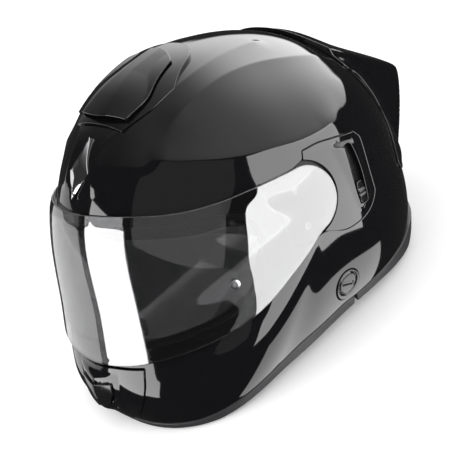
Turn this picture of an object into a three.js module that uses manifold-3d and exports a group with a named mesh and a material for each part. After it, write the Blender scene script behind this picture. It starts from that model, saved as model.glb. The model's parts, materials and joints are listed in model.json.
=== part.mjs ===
// Full-face motorcycle helmet standing on its bottom rim.
// Millimetres, +Z up. The face opening looks along -Y and +X is the wearer's left.
import * as THREE from 'three';
import { mergeVertices } from 'three/addons/utils/BufferGeometryUtils.js';
import Module from 'manifold-3d';

const wasm = await Module();
wasm.setup();

// ---------- driving dimensions ----------
// The outer surface is a swollen ellipsoid: its centre-plane outline, its half width and how
// square its cross-sections are, each read around CENTRE.
const HALF_WIDTH = 124;
const LENGTH = 319;             // of the bare shell, front to back
const HEIGHT = 226.5;           // of the bare shell above the ground
// Outlines and places are drawn on a helmet of these sizes, and stretched to the sizes above.
const DRAWN = { halfWidth: 124, length: 319, height: 226.5 };
const STRETCH = { x: HALF_WIDTH / DRAWN.halfWidth, y: LENGTH / DRAWN.length, z: HEIGHT / DRAWN.height };
const sideView = (points) => points.map(([y, z]) => [y * STRETCH.y, z * STRETCH.z]);
const frontView = (points) => points.map(([x, z]) => [x * STRETCH.x, z * STRETCH.z]);
const topView = (points) => points.map(([x, y]) => [x * STRETCH.x, y * STRETCH.y]);
const at = (y, z) => ({ y: y * STRETCH.y, z: z * STRETCH.z });

const CENTRE = at(5, 103);
const CENTRE_OUTLINE = sideView([
  [-162, 6], [-165.5, 30], [-156.5, 57], [-137, 113], [-116.5, 164], [-88, 196], [-54, 214], [-8, 226.5],
  [45, 220], [90, 202], [126, 170], [147, 124], [148, 78], [142, 33], [131, 4], [120, -16],
  [90, -38], [0, -45], [-90, -50], [-138, -36],
]);
const SQUARENESS = [
  [0, 2.2], [45, 2.15], [90, 2.1], [125, 1.95], [142, 1.8], [158, 1.85], [175, 2.0], [190, 2.05],
  [202, 2.15], [212, 2.65], [228, 2.3], [242, 2.25], [270, 2.3], [315, 2.3],
];

const SHELL_WALL = 3.8;
const FIT_GAP = 0.4;            // between fixed neighbours
const RUN_GAP = 1.2;            // under anything that swings or slides over the shell
const LINER_GAP = 1.2;          // foam to shell
const LINER_WALL = 26;
const CARRIAGE_ROOM = 3;        // beside the slider's carriage, in the foam
const SUN_ROOM = 2.5;           // inside the sun visor's sweep, in the foam
const CHIN_LINER_WALL = 15;
const CHIN_LINER_GAP = 0.5;     // behind the chin vent housing, further in than the foam elsewhere
const BREATH_GUARD = { halfWidth: 52 * STRETCH.x, inner: -17, outer: -14.6 };
const NECK_ROLL_WALL = 24;
const PAD_WALL = 8;
const PAD_GAP = 0.8;

const VISOR_WALL = 2.2;
const VISOR_GAP = 1.9;          // over the shell at the sides, so that the visor swings clear
const VISOR_FRONT_LIFT = 0.6;   // how much prouder the visor stands at the front than at the sides
const VISOR_END = { ...at(-4.5, 119.5), radius: 25.5 };   // rounded rear end of the visor
const PIVOT = at(9, 110);
const POCKET_DEPTH = 2.2;       // recess under the visor end and under the side plates
const HINGE_PLATE_FRONT = at(-27, 0).y;
const HINGE_PLATE_MARGIN = 3;   // inside the edge of the visor
const BOSS_RADIUS = 5;
const BOSS_REACH = 1;           // into the shell below the pocket
const HINGE_SCREWS = { upper: at(-8, 130), lower: at(-12, 103) };
const HINGE_SCREW = { headRadius: 3, shankRadius: 1.5, headHeight: 1.1, sunk: 0.6 };
const GASKET_WIDTH = 4;
const GASKET_LIFT = 0.6;        // how proud of the shell the eyeport seal stands
const PLATE_LIFT = 0.3;
const PINLOCK_WALL = 1.3;
const PINLOCK_MARGIN = 8;       // inside the edge of the face opening
const PIN_RADIUS = 3.8;
const PIN_AT = at(-74, 97);

const SUN_PIVOT = at(-20, 98);
const SUN_RADIUS = 111 * Math.min(STRETCH.y, STRETCH.z);
const SUN_SIDE_ROOM = 23;       // between the lens and the helmet's widest place
const SUN_HALF_WIDTH = HALF_WIDTH - SUN_SIDE_ROOM;
const SUN_BACKSET = 13;         // how far behind its pivot the lens's side edges would meet
const SUN_WALL = 2;
const SUN_MIDDLE_DEG = 56;      // direction of the stowed lens from its pivot, up from straight ahead
const SUN_HALF_SPREAD_DEG = 18;
const SUN_PIN = { radius: 3, headRadius: 8, headWall: 3.5, reach: 8 };

const SLOT_BOTTOM = at(41, 87);
const SLOT_TOP = at(49, 131);
const SLOT_WIDTH = 7.5;
const KNOB_LENGTH = 16;
const KNOB_LIFT = 2.2;
const STEM_WIDTH = 4;
const STEM_INSET = 5;           // from the ends of the knob to its stem
const CARRIAGE = { width: 12, wall: 3, gap: 4 };   // behind the shell, on the knob's stem
const CAP_RADIUS = 12;
const CAP_LIFT = 0.8;
const CAP_GROOVE = { outer: CAP_RADIUS - 2, width: 1.2, depth: 0.6 };
const CAP_CENTRE = at(4, 37);

const SCOOP_LIFT = 6.2;
const SCOOP_FRONT_LIFT = 1.5;   // how much higher the scoop stands over its mouth
const SCOOP_ROOF = 2;
const COWL_LIFT = 3.2;
const SPOILER_LIFT = 4;
const TAIL = at(181, 126);            // rear edge of the spoiler, on the centre plane
const TAIL_START = at(100, 199);      // where its flat top leaves the shell
const TAIL_CROWN = 11;                // how much lower its side edges are
const TAIL_HALF_WIDTH = 66 * STRETCH.x;
const SPOILER_SCREW = { ...at(123, 80), radius: 3 };
const CHIN_HOUSING_LIFT = 2.4;
const CHIN_SLOT = { halfWidth: 17 * STRETCH.x, height: 4.5, bottoms: [20, 29, 38].map((z) => at(0, z).z) };
const CHIN_COVER_WALL = 2.2;
const BADGE_WALL = 2.6;

const TRIM_WALL = 6;
const TRIM_LIFT = 0.6;
const TRIM_FLARE = 2;           // how much prouder the trim stands at the back
const TRIM_SPLIT_Y = at(12, 0).y;

const STRAP_WIDTH = 24;
const STRAP_WALL = 2;
const STRAP_Y = 14;
const STRAP_Z = 17;
const BUCKLE = { x: 34, length: 32, width: STRAP_WIDTH + 2, lug: { wall: 2.5, half: 3.5 } };
const STRAP_ANCHOR = { wall: 2.2, bottom: 46, top: 66, margin: 1, rivetRadius: 4 };
const RATCHET = { start: -22, halfWidth: 8, wall: 2, pitch: 3, toothGap: 0.6, toothDepth: 0.9 };
const AXLE_RADIUS = 1.5;
const CHEEK_WALL = 61;          // from the helmet's widest place to the cheek pad's inner face
const CURTAIN = { bottom: 7, top: 9.2, back: at(-118, 0).y };

const GRID = { fine: 7, coarse: 5 };   // how often each edge of a 20-faced ball is split
const FAR = 400;                       // beyond the helmet in every direction

// ---------- the analytic surface ----------
// Periodic cubic spline through (angle, value) pairs, as a function of angle in radians.
function periodicSpline(pairs) {
  const knots = [...pairs].sort((a, b) => a[0] - b[0]);
  const n = knots.length;
  const turn = 2 * Math.PI;
  const step = knots.map((k, i) => (i + 1 < n ? knots[i + 1][0] : knots[0][0] + turn) - k[0]);
  const value = knots.map((k) => k[1]);
  const rows = knots.map((_, i) => {
    const row = new Array(n + 1).fill(0);
    const before = (i + n - 1) % n;
    const after = (i + 1) % n;
    row[before] += step[before];
    row[i] += 2 * (step[before] + step[i]);
    row[after] += step[i];
    row[n] = 6 * ((value[after] - value[i]) / step[i] - (value[i] - value[before]) / step[before]);
    return row;
  });
  for (let i = 0; i < n; i += 1) {
    for (let j = 0; j < n; j += 1) {
      if (j !== i) {
        const share = rows[j][i] / rows[i][i];
        rows[j] = rows[j].map((v, k) => v - share * rows[i][k]);
      }
    }
  }
  const bend = rows.map((row, i) => row[n] / row[i]);
  return (angle) => {
    const start = knots[0][0];
    const a = start + ((((angle - start) % turn) + turn) % turn);
    let i = n - 1;
    while (i > 0 && knots[i][0] > a) i -= 1;
    const after = (i + 1) % n;
    const h = step[i];
    const t = a - knots[i][0];
    const slope = (value[after] - value[i]) / h - (h * (2 * bend[i] + bend[after])) / 6;
    return value[i] + t * (slope + t * (bend[i] / 2 + (t * (bend[after] - bend[i])) / (6 * h)));
  };
}

const outlineRadius = periodicSpline(CENTRE_OUTLINE.map(([y, z]) => [
  Math.atan2(z - CENTRE.z, y - CENTRE.y), Math.hypot(y - CENTRE.y, z - CENTRE.z)]));
const squareness = periodicSpline(SQUARENESS.map(([deg, n]) => [THREE.MathUtils.degToRad(deg), n]));

// Distance from CENTRE to the surface along the unit direction (x, y, z).
function surfaceRadius(x, y, z) {
  const angle = Math.atan2(z, y);
  const n = squareness(angle);
  return ((Math.hypot(y, z) / outlineRadius(angle)) ** n + (Math.abs(x) / HALF_WIDTH) ** n) ** (-1 / n);
}

// Half width of the surface at a place of the side view.
function surfaceX(y, z) {
  const angle = Math.atan2(z - CENTRE.z, y - CENTRE.y);
  const n = squareness(angle);
  const reach = Math.hypot(y - CENTRE.y, z - CENTRE.z) / outlineRadius(angle);
  return HALF_WIDTH * (1 - reach ** n) ** (1 / n);
}

// ---------- solids ----------
function solidOf(geometry) {
  geometry.deleteAttribute('normal');
  geometry.deleteAttribute('uv');
  const merged = mergeVertices(geometry, 1e-4);
  return new wasm.Manifold(new wasm.Mesh({
    numProp: 3,
    vertProperties: new Float32Array(merged.attributes.position.array),
    triVerts: new Uint32Array(merged.index.array),
  }));
}

function geometryOf(solid) {
  const mesh = solid.getMesh();
  const geometry = new THREE.BufferGeometry();
  geometry.setAttribute('position', new THREE.BufferAttribute(new Float32Array(mesh.vertProperties), 3));
  geometry.setIndex(new THREE.BufferAttribute(new Uint32Array(mesh.triVerts), 1));
  geometry.computeVertexNormals();
  return geometry;
}

// The whole surface moved out by an offset: a number, or a function of the unit direction.
function swell(offset, grid = GRID.fine) {
  const geometry = new THREE.IcosahedronGeometry(1, grid);
  const p = geometry.attributes.position;
  for (let i = 0; i < p.count; i += 1) {
    const x = p.getX(i);
    const y = p.getY(i);
    const z = p.getZ(i);
    const r = surfaceRadius(x, y, z) + (typeof offset === 'function' ? offset(x, y, z) : offset);
    p.setXYZ(i, x * r, CENTRE.y + y * r, CENTRE.z + z * r);
  }
  return solidOf(geometry);
}

const skin = (inner, outer, grid) => swell(outer, grid).subtract(swell(inner, grid));

// Prisms of an outline drawn in the side view (y, z), front view (x, z) or top view (x, y).
function prism(points, from, to, axes) {
  const shape = new THREE.Shape(points.map(([a, b]) => new THREE.Vector2(a, b)));
  const geometry = new THREE.ExtrudeGeometry(shape, { depth: to - from, bevelEnabled: false });
  geometry.translate(0, 0, from);
  geometry.applyMatrix4(new THREE.Matrix4().makeBasis(...axes));
  return solidOf(geometry);
}
const X = new THREE.Vector3(1, 0, 0);
const Y = new THREE.Vector3(0, 1, 0);
const Z = new THREE.Vector3(0, 0, 1);
const sidePrism = (points, from = -FAR, to = FAR) => prism(points, from, to, [Y, Z, X]);
const frontPrism = (points, from, to) => prism(points, -to, -from, [X, Z, Y.clone().negate()]);
const topPrism = (points, from, to) => prism(points, from, to, [X, Y, Z]);

function box(x0, x1, y0, y1, z0, z1) {
  const geometry = new THREE.BoxGeometry(x1 - x0, y1 - y0, z1 - z0);
  geometry.translate((x0 + x1) / 2, (y0 + y1) / 2, (z0 + z1) / 2);
  return solidOf(geometry);
}

// Cylinder with its axis along X or Y, between two places on that axis.
function rod(axis, radius, from, to, a, b, sides = 20) {
  const geometry = new THREE.CylinderGeometry(radius, radius, to - from, sides);
  geometry.translate(0, (from + to) / 2, 0);
  if (axis === 'x') geometry.applyMatrix4(new THREE.Matrix4().makeBasis(Z, X, Y));
  if (axis === 'x') geometry.translate(0, a, b);
  else geometry.translate(a, 0, b);
  return solidOf(geometry);
}

// The outline moved outwards (inwards when negative) by a distance.
function grow(points, distance) {
  const area = points.reduce((sum, [a, b], i) => {
    const [c, d] = points[(i + 1) % points.length];
    return sum + a * d - b * c;
  }, 0);
  const out = Math.sign(area) * distance;
  return points.map(([a, b], i) => {
    const [pa, pb] = points[(i + points.length - 1) % points.length];
    const [na, nb] = points[(i + 1) % points.length];
    const before = new THREE.Vector2(b - pb, pa - a).normalize();
    const after = new THREE.Vector2(nb - b, a - na).normalize();
    const mean = before.clone().add(after).normalize();
    const reach = out / Math.max(0.5, mean.dot(before));
    return [a + mean.x * reach, b + mean.y * reach];
  });
}

function arc(centre, radius, fromDeg, toDeg, steps) {
  return Array.from({ length: steps + 1 }, (_, i) => {
    const a = THREE.MathUtils.degToRad(fromDeg + ((toDeg - fromDeg) * i) / steps);
    return [centre[0] + radius * Math.cos(a), centre[1] + radius * Math.sin(a)];
  });
}
const disc = (centre, radius, steps = 20) => arc(centre, radius, 0, 360 - 360 / steps, steps - 1);
const mirrorPairs = (half) => [...half, ...half.map(([a, b]) => [-a, b]).reverse()];
const half = (sign) => (sign > 0 ? box(0, FAR, -FAR, FAR, -FAR, FAR) : box(-FAR, 0, -FAR, FAR, -FAR, FAR));
// Everything ahead of a drawn place, on the drawn helmet's scale.
const ahead = (y) => box(-FAR, FAR, -FAR, at(y, 0).y, -FAR, FAR);
const fromFront = (points) => frontPrism(frontView(points), -FAR, at(-50, 0).y);
const fromAbove = (points) => topPrism(topView(points), at(0, 150).z, FAR);

// ---------- outlines ----------
const visorEndArc = (radius, ...degrees) => arc([VISOR_END.y, VISOR_END.z], radius, ...degrees);
// Side view of the visor: top edge, round rear end about the pivot, bottom edge, lip.
const visorOutline = [
  ...sideView([[-200, 174], [-118, 168], [-107, 164.5], [-93, 159.5], [-78, 154.5], [-54, 150], [-30, 148]]),
  ...visorEndArc(VISOR_END.radius, 90, -90, 10),
  ...sideView([
    [-19, 88.5], [-40, 81], [-63, 73], [-87, 68], [-120, 64], [-141, 61], [-155, 58], [-160, 56],
    [-163, 46], [-200, 46],
  ]),
];
// Side view of the face opening.
const eyeportOutline = sideView([
  [-200, 160], [-117, 158], [-97, 151], [-76, 144], [-56, 140], [-45, 134], [-42, 124], [-45, 108],
  [-54, 92], [-66, 81], [-82, 75], [-110, 71], [-150, 68], [-200, 66],
]);
const plateOutline = [
  ...visorEndArc(VISOR_END.radius + 3, 60, -84, 8),
  ...sideView([
    [19, 79.5], [52, 82], [57, 86], [61, 108], [66, 126], [62, 133], [39, 142], [28, 146], [13, 149],
  ]),
];
const hingePlateOutline = [
  [HINGE_PLATE_FRONT, at(0, 143).z], ...visorEndArc(VISOR_END.radius - HINGE_PLATE_MARGIN, 90, -90, 8),
  ...sideView([[-19, 92]]), [HINGE_PLATE_FRONT, at(0, 95).z],
];
const bottomEdge = sideView([
  [-220, 0], [-128, 0], [-100, 3.5], [-70, 6], [-20, 8], [40, 7], [75, 3], [100, 0], [220, 0],
]);
const trimTop = sideView([
  [-220, 5], [-140, 7], [-119, 10.5], [-87, 16], [-49, 19], [-2, 19], [12, 17], [52, 18],
  [76, 20], [92, 24], [220, 24],
]);
const cowlOutline = mirrorPairs([[31, -64], [45, -38], [49, -20], [43, -9], [29, 16], [22, 21]]);
const scoopOutline = mirrorPairs([[0.01, -60], [32, -56], [37, -35], [33, -21], [28, -1], [18, 5]]);
const mouthOutline = mirrorPairs([[29, -90], [29, -34]]);
const intakeOutline = mirrorPairs([[12, -52], [12, -44]]);
const kiteOutline = mirrorPairs([[0.01, 172], [11, 188], [7, 197], [0.01, 206]]);
const tailOutline = mirrorPairs([[64, 96], [60, 140], [57, 160], [51, 180], [44, 184]]);
const spoilerOutline = sideView([
  [101, 230], [103, 184], [111, 163], [113, 156], [123, 145], [129, 122], [127, 107], [121, 97],
  [113, 88], [104, 76], [108, 68], [130, 64], [220, 64], [220, 230],
]);
const chinOutline = mirrorPairs([[24, 8], [43, 22], [52, 40], [53, 54]]);

// Everything above, or below, a line of the side view.
const above = (line) => sidePrism([...line, [line.at(-1)[0], FAR], [line[0][0], FAR]]);
const below = (line) => sidePrism([...line, [line.at(-1)[0], -FAR], [line[0][0], -FAR]]);
const raise = (line, up) => line.map(([y, z]) => [y, z + up]);

// ---------- places that several pieces share ----------
const pivotX = surfaceX(PIVOT.y, PIVOT.z);
const sides = [['left', 1], ['right', -1]];
const slotLength = Math.hypot(SLOT_TOP.y - SLOT_BOTTOM.y, SLOT_TOP.z - SLOT_BOTTOM.z);
const slotUp = [(SLOT_TOP.y - SLOT_BOTTOM.y) / slotLength, (SLOT_TOP.z - SLOT_BOTTOM.z) / slotLength];
// A bar along the slot, between two distances from its bottom end.
function slotBar(width, from, to) {
  const side = [-slotUp[1] * width * 0.5, slotUp[0] * width * 0.5];
  const corner = (d, s) => [
    SLOT_BOTTOM.y + slotUp[0] * d + side[0] * s, SLOT_BOTTOM.z + slotUp[1] * d + side[1] * s];
  return [corner(from, -1), corner(to, -1), corner(to, 1), corner(from, 1)];
}

// A rod on both sides of the helmet, as a left or a right piece.
const sideRod = (sign, radius, from, to, { y, z }, count) => (sign > 0
  ? rod('x', radius, from, to, y, z, count) : rod('x', radius, -to, -from, y, z, count));
const throughRod = (radius, { y, z }, count) => rod('x', radius, -FAR, FAR, y, z, count);
const WALL_START = HALF_WIDTH - 44;   // well inside the side walls

// ---------- shell and what is set into it ----------
const STRAP_TOP = (STRAP_ANCHOR.bottom + STRAP_ANCHOR.top) / 2;
const anchorX = surfaceX(STRAP_Y, STRAP_TOP) - SHELL_WALL;
const SLOT_END_ROOM = 4;        // between the ends of the slot in the plate and of the one in the shell

function outerShell() {
  let solid = skin(-SHELL_WALL, 0);
  solid = solid.subtract(below(raise(trimTop, FIT_GAP)));
  solid = solid.subtract(sidePrism(eyeportOutline).intersect(ahead(-30)));
  const skinDeep = swell(40).subtract(swell(-POCKET_DEPTH));
  const plates = sidePrism(grow(plateOutline, FIT_GAP)).add(sidePrism(grow(hingePlateOutline, FIT_GAP)));
  solid = solid.subtract(skinDeep.intersect(plates));
  solid = solid.subtract(frontPrism(grow(frontView(chinOutline), FIT_GAP), -FAR, at(-50, 0).y));
  solid = solid.subtract(
    sidePrism(slotBar(STEM_WIDTH + 2 * FIT_GAP, SLOT_END_ROOM, slotLength - SLOT_END_ROOM), 0, FAR));
  solid = solid.subtract(sideRod(1, CAP_RADIUS + FIT_GAP, WALL_START, FAR, CAP_CENTRE, 32));
  sides.forEach(([, sign]) => {
    Object.values(HINGE_SCREWS).forEach((place) => {
      solid = solid.subtract(sideRod(sign, HINGE_SCREW.shankRadius + FIT_GAP, WALL_START, FAR, place, 12));
    });
    solid = solid.subtract(sideRod(sign, BOSS_RADIUS + FIT_GAP, WALL_START, FAR, PIVOT));
  });
  solid = solid.subtract(fromAbove(intakeOutline));
  return solid.decompose()[0];
}

function hingePlate(sign) {
  let solid = skin(-POCKET_DEPTH + FIT_GAP, -0.2);
  solid = solid.intersect(sidePrism(hingePlateOutline));
  solid = solid.subtract(throughRod(BOSS_RADIUS + FIT_GAP, PIVOT));
  Object.values(HINGE_SCREWS).forEach((place) => {
    solid = solid.subtract(throughRod(HINGE_SCREW.headRadius + FIT_GAP, place, 14));
  });
  return solid.intersect(half(sign));
}

function hingeScrew(sign, place) {
  const top = surfaceX(place.y, place.z) - HINGE_SCREW.sunk;
  const neck = top - HINGE_SCREW.headHeight;
  const head = sideRod(sign, HINGE_SCREW.headRadius, neck, top, place, 14);
  return head.add(sideRod(sign, HINGE_SCREW.shankRadius, top - SHELL_WALL, neck + 0.3, place, 10));
}

function eyeportGasket() {
  const inset = (distance) => sidePrism(grow(eyeportOutline, -distance));
  const ring = inset(FIT_GAP).subtract(inset(GASKET_WIDTH));
  return skin(-SHELL_WALL, GASKET_LIFT).intersect(ring).intersect(ahead(-30)).decompose()[0];
}

function sidePlate(sign) {
  let solid = skin(-POCKET_DEPTH + FIT_GAP, PLATE_LIFT);
  solid = solid.intersect(sidePrism(plateOutline));
  if (sign > 0) solid = solid.subtract(sidePrism(slotBar(SLOT_WIDTH, 0, slotLength), 0, FAR));
  return solid.intersect(half(sign));
}

// The surface's half width behind the knob, which stands at the slot's lower end.
const knobMiddle = FIT_GAP + KNOB_LENGTH / 2;
const slotX = surfaceX(SLOT_BOTTOM.y + slotUp[0] * knobMiddle, SLOT_BOTTOM.z + slotUp[1] * knobMiddle);
function sliderKnob() {
  const start = FIT_GAP;
  const outside = sidePrism(slotBar(SLOT_WIDTH - 2 * FIT_GAP, start, start + KNOB_LENGTH), 0, FAR);
  const grip = skin(-POCKET_DEPTH + RUN_GAP, KNOB_LIFT).intersect(outside);
  const stem = sidePrism(slotBar(STEM_WIDTH - FIT_GAP, start + STEM_INSET, start + KNOB_LENGTH - STEM_INSET),
    slotX - SHELL_WALL - CARRIAGE.gap + FIT_GAP, slotX - 1);
  return grip.add(stem);
}

function sliderCarriage() {
  const bar = slotBar(CARRIAGE.width, FIT_GAP - 1, FIT_GAP + KNOB_LENGTH + 2);
  return sidePrism(bar, slotX - SHELL_WALL - CARRIAGE.gap - CARRIAGE.wall, slotX - SHELL_WALL - CARRIAGE.gap);
}

function intercomCap() {
  const ring = (radius, steps) => sidePrism(disc([CAP_CENTRE.y, CAP_CENTRE.z], radius, steps), 0, FAR);
  const body = skin(-SHELL_WALL, CAP_LIFT).intersect(ring(CAP_RADIUS, 30));
  const groove = skin(CAP_LIFT - CAP_GROOVE.depth, CAP_LIFT + 1)
    .intersect(ring(CAP_GROOVE.outer).subtract(ring(CAP_GROOVE.outer - CAP_GROOVE.width)));
  return body.subtract(groove);
}

const foreheadBadge = () => skin(FIT_GAP, FIT_GAP + BADGE_WALL).intersect(fromFront(kiteOutline));

function rearSpoiler() {
  const plate = skin(FIT_GAP, SPOILER_LIFT).intersect(sidePrism(spoilerOutline));
  const side = sidePrism([
    [TAIL_START.y, TAIL_START.z], [TAIL.y, TAIL.z],
    ...sideView([
      [182, 120], [180, 114], [173, 106], [167, 94], [158, 82], [148, 64], [120, 60], [100, 150],
    ]),
  ]);
  const plan = topPrism(topView(tailOutline), -FAR, FAR);
  const run = new THREE.Vector3(0, TAIL.y - TAIL_START.y, TAIL.z - TAIL_START.z).normalize();
  const up = new THREE.Vector3().crossVectors(X, run);
  const crown = [-1, -0.66, -0.33, 0, 0.33, 0.66, 1].map((t) => [TAIL_HALF_WIDTH * t, -TAIL_CROWN * t * t]);
  const section = [...crown, [TAIL_HALF_WIDTH, -FAR], [-TAIL_HALF_WIDTH, -FAR]];
  const top = prism(section, -FAR, FAR, [X, up, run.clone().negate()]);
  const shift = new THREE.Vector3(0, TAIL_START.y, TAIL_START.z);
  const lip = side.intersect(plan).intersect(top.translate(shift.toArray()));
  let solid = plate.add(lip.subtract(swell(FIT_GAP)));
  solid = solid.subtract(throughRod(SPOILER_SCREW.radius + FIT_GAP, SPOILER_SCREW));
  return solid.decompose()[0];
}

function spoilerScrew(sign) {
  const { radius, y, z } = SPOILER_SCREW;
  const x = surfaceX(y - radius, z);
  return sideRod(sign, radius, x + FIT_GAP, x + SPOILER_LIFT, SPOILER_SCREW, 14);
}

function topVentBase() {
  return skin(FIT_GAP, COWL_LIFT).intersect(fromAbove(cowlOutline)).subtract(fromAbove(intakeOutline));
}

function topVentCover() {
  const rise = (x, y) => SCOOP_LIFT + SCOOP_FRONT_LIFT * THREE.MathUtils.smoothstep(-y, 0.05, 0.4);
  const roof = swell(rise).subtract(swell(COWL_LIFT + RUN_GAP)).intersect(fromAbove(scoopOutline));
  const mouth = swell((x, y) => rise(x, y) - SCOOP_ROOF).intersect(fromAbove(mouthOutline));
  return roof.subtract(mouth).decompose()[0];
}

// ---------- chin ----------
function chinVentHousing() {
  let solid = skin(-SHELL_WALL, CHIN_HOUSING_LIFT).intersect(fromFront(chinOutline));
  const { halfWidth, height, bottoms } = CHIN_SLOT;
  bottoms.forEach((z) => {
    solid = solid.subtract(box(-halfWidth, halfWidth, -FAR, 0, z, z + height));
  });
  return solid.decompose()[0];
}

function chinVentCover() {
  const outline = mirrorPairs([[12, 26], [20, 36], [20, 44]]);
  const under = CHIN_HOUSING_LIFT + RUN_GAP;
  return skin(under, under + CHIN_COVER_WALL).intersect(fromFront(outline));
}

// ---------- bottom trims ----------
const trimLift = (x, y) => TRIM_LIFT + TRIM_FLARE * THREE.MathUtils.smoothstep(y, 0.35, 0.75);
function bottomTrim(from, to) {
  const band = above(bottomEdge).intersect(below(trimTop)).intersect(box(-FAR, FAR, from, to, -FAR, FAR));
  return skin(-TRIM_WALL, trimLift).intersect(band);
}

// ---------- visor ----------
const visorGap = (x, y) => VISOR_GAP + VISOR_FRONT_LIFT * THREE.MathUtils.smoothstep(-y, 0.3, 0.85);
function visorShield() {
  let solid = skin(visorGap, (x, y) => visorGap(x, y) + VISOR_WALL);
  solid = solid.intersect(sidePrism(visorOutline)).decompose()[0];
  const bossTop = pivotX + VISOR_GAP + VISOR_WALL * 0.6;
  sides.forEach(([, sign]) => {
    solid = solid.add(sideRod(sign, BOSS_RADIUS, pivotX - POCKET_DEPTH - BOSS_REACH, bossTop, PIVOT));
  });
  return solid;
}

function pinlockLens() {
  const outer = (x, y) => visorGap(x, y) - FIT_GAP;
  const outline = sidePrism(grow(eyeportOutline, -PINLOCK_MARGIN)).intersect(ahead(-30));
  let solid = skin((x, y) => outer(x, y) - PINLOCK_WALL, outer).intersect(outline);
  sides.forEach(([, sign]) => {
    solid = solid.subtract(pinlockPinRod(sign, PIN_RADIUS + FIT_GAP));
  });
  return solid.decompose()[0];
}

// The pins stand square to the visor where the insert's rear edge is.
const PIN_TURN_DEG = 52;
const PIN_STOCK = 6;
const PIN_BEHIND = 1.4;
function pinlockPinRod(sign, radius) {
  const x = surfaceX(PIN_AT.y, PIN_AT.z);
  const geometry = new THREE.CylinderGeometry(radius, radius, PIN_STOCK, 16);
  geometry.rotateZ(-Math.PI / 2);
  geometry.rotateZ(THREE.MathUtils.degToRad(-PIN_TURN_DEG));
  geometry.translate(x, PIN_AT.y, PIN_AT.z);
  if (sign < 0) {
    geometry.applyMatrix4(new THREE.Matrix4().makeScale(-1, 1, 1));
    const order = geometry.index.array;
    for (let i = 0; i < order.length; i += 3) [order[i], order[i + 1]] = [order[i + 1], order[i]];
  }
  return solidOf(geometry);
}
function pinlockPin(sign) {
  const span = skin((x, y) => visorGap(x, y) - PINLOCK_WALL - PIN_BEHIND, (x, y) => visorGap(x, y) - FIT_GAP);
  return pinlockPinRod(sign, PIN_RADIUS).intersect(span);
}

// ---------- sun visor ----------
const sunRadiusAt = (x) => SUN_RADIUS * (1 - (x / SUN_HALF_WIDTH) ** 2) ** 0.5;
// Body of revolution about the sun visor's axle, moved out by an offset.
function sunBody(offset, segments = 45) {
  const steps = 10;
  const profile = [];
  for (let i = 0; i <= steps; i += 1) {
    const a = -Math.PI / 2 + (Math.PI * i) / steps;
    const x = SUN_HALF_WIDTH * Math.sin(a);
    const stretch = (SUN_HALF_WIDTH + offset) / SUN_HALF_WIDTH;
    const radius = i % steps === 0 ? 0 : (sunRadiusAt(x) * (SUN_RADIUS + offset)) / SUN_RADIUS;
    profile.push(new THREE.Vector2(radius, x * stretch));
  }
  const geometry = new THREE.LatheGeometry(profile, segments);
  geometry.applyMatrix4(new THREE.Matrix4().makeBasis(Z, X, Y));
  geometry.translate(0, SUN_PIVOT.y, SUN_PIVOT.z);
  return solidOf(geometry);
}
function fan(backSet, lowDeg, highDeg) {
  const middle = THREE.MathUtils.degToRad(SUN_MIDDLE_DEG);
  const apex = [SUN_PIVOT.y + backSet * Math.cos(middle), SUN_PIVOT.z - backSet * Math.sin(middle)];
  const ends = [lowDeg, highDeg].map((deg) => {
    const a = THREE.MathUtils.degToRad(deg);
    return [apex[0] - FAR * Math.cos(a), apex[1] + FAR * Math.sin(a)];
  });
  return sidePrism([apex, ...ends]);
}
function sunVisor() {
  const spread = SUN_HALF_SPREAD_DEG;
  let solid = sunBody(0).subtract(sunBody(-SUN_WALL));
  solid = solid.intersect(fan(SUN_BACKSET, SUN_MIDDLE_DEG - spread, SUN_MIDDLE_DEG + spread));
  return solid.subtract(throughRod(SUN_PIN.radius + FIT_GAP, SUN_PIVOT));
}
function sunPin(sign) {
  const { y, z } = SUN_PIVOT;
  const r = SUN_PIN.headRadius;
  const around = [[y - r, z], [y + r, z], [y, z - r], [y, z + r]].map((place) => surfaceX(...place));
  const headTop = Math.min(...around) - SHELL_WALL - FIT_GAP;
  const pin = sideRod(sign, SUN_PIN.radius, SUN_HALF_WIDTH - SUN_PIN.reach, headTop - 1, SUN_PIVOT);
  return pin.add(sideRod(sign, SUN_PIN.headRadius, headTop - SUN_PIN.headWall, headTop - 0.3, SUN_PIVOT));
}

// ---------- foam and padding ----------
const linerOuter = -SHELL_WALL - LINER_GAP;
const linerInner = linerOuter - LINER_WALL;
const linerOutline = sideView([
  [-200, 170], [-110, 164], [-70, 152], [-36, 140], [-26, 118], [14, 104], [28, 96], [34, 66],
  [60, 60], [220, 60], [220, 300], [-200, 300],
]);
function impactLiner() {
  let solid = skin(linerInner, linerOuter, GRID.coarse).intersect(sidePrism(linerOutline));
  const sweep = swell(20, GRID.coarse).subtract(sunBody(-SUN_WALL - SUN_ROOM, 30));
  solid = solid.subtract(sweep.intersect(fan(SUN_BACKSET + 9, -14, SUN_MIDDLE_DEG + SUN_HALF_SPREAD_DEG + 4)));
  const { width, wall, gap } = CARRIAGE;
  const room = slotBar(width + 2 * CARRIAGE_ROOM, -2 * CARRIAGE_ROOM, slotLength + 2 * CARRIAGE_ROOM);
  const depth = SHELL_WALL + gap + wall + 8;
  return solid.subtract(sidePrism(room, slotX - depth, FAR)).decompose()[0];
}
function crownPad() {
  const outline = sideView([
    [-72, 160], [-40, 148], [-10, 124], [30, 108], [40, 78], [220, 72], [220, 300], [-72, 300]]);
  const solid = skin(linerInner - PAD_GAP - PAD_WALL, linerInner - PAD_GAP, GRID.coarse);
  return solid.intersect(sidePrism(outline)).decompose()[0];
}
function chinLiner() {
  const front = sidePrism(sideView([[-200, 16], [-96, 20], [-96, 62], [-200, 60]]));
  return skin(linerOuter - CHIN_LINER_WALL, linerOuter - CHIN_LINER_GAP).intersect(front);
}
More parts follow.
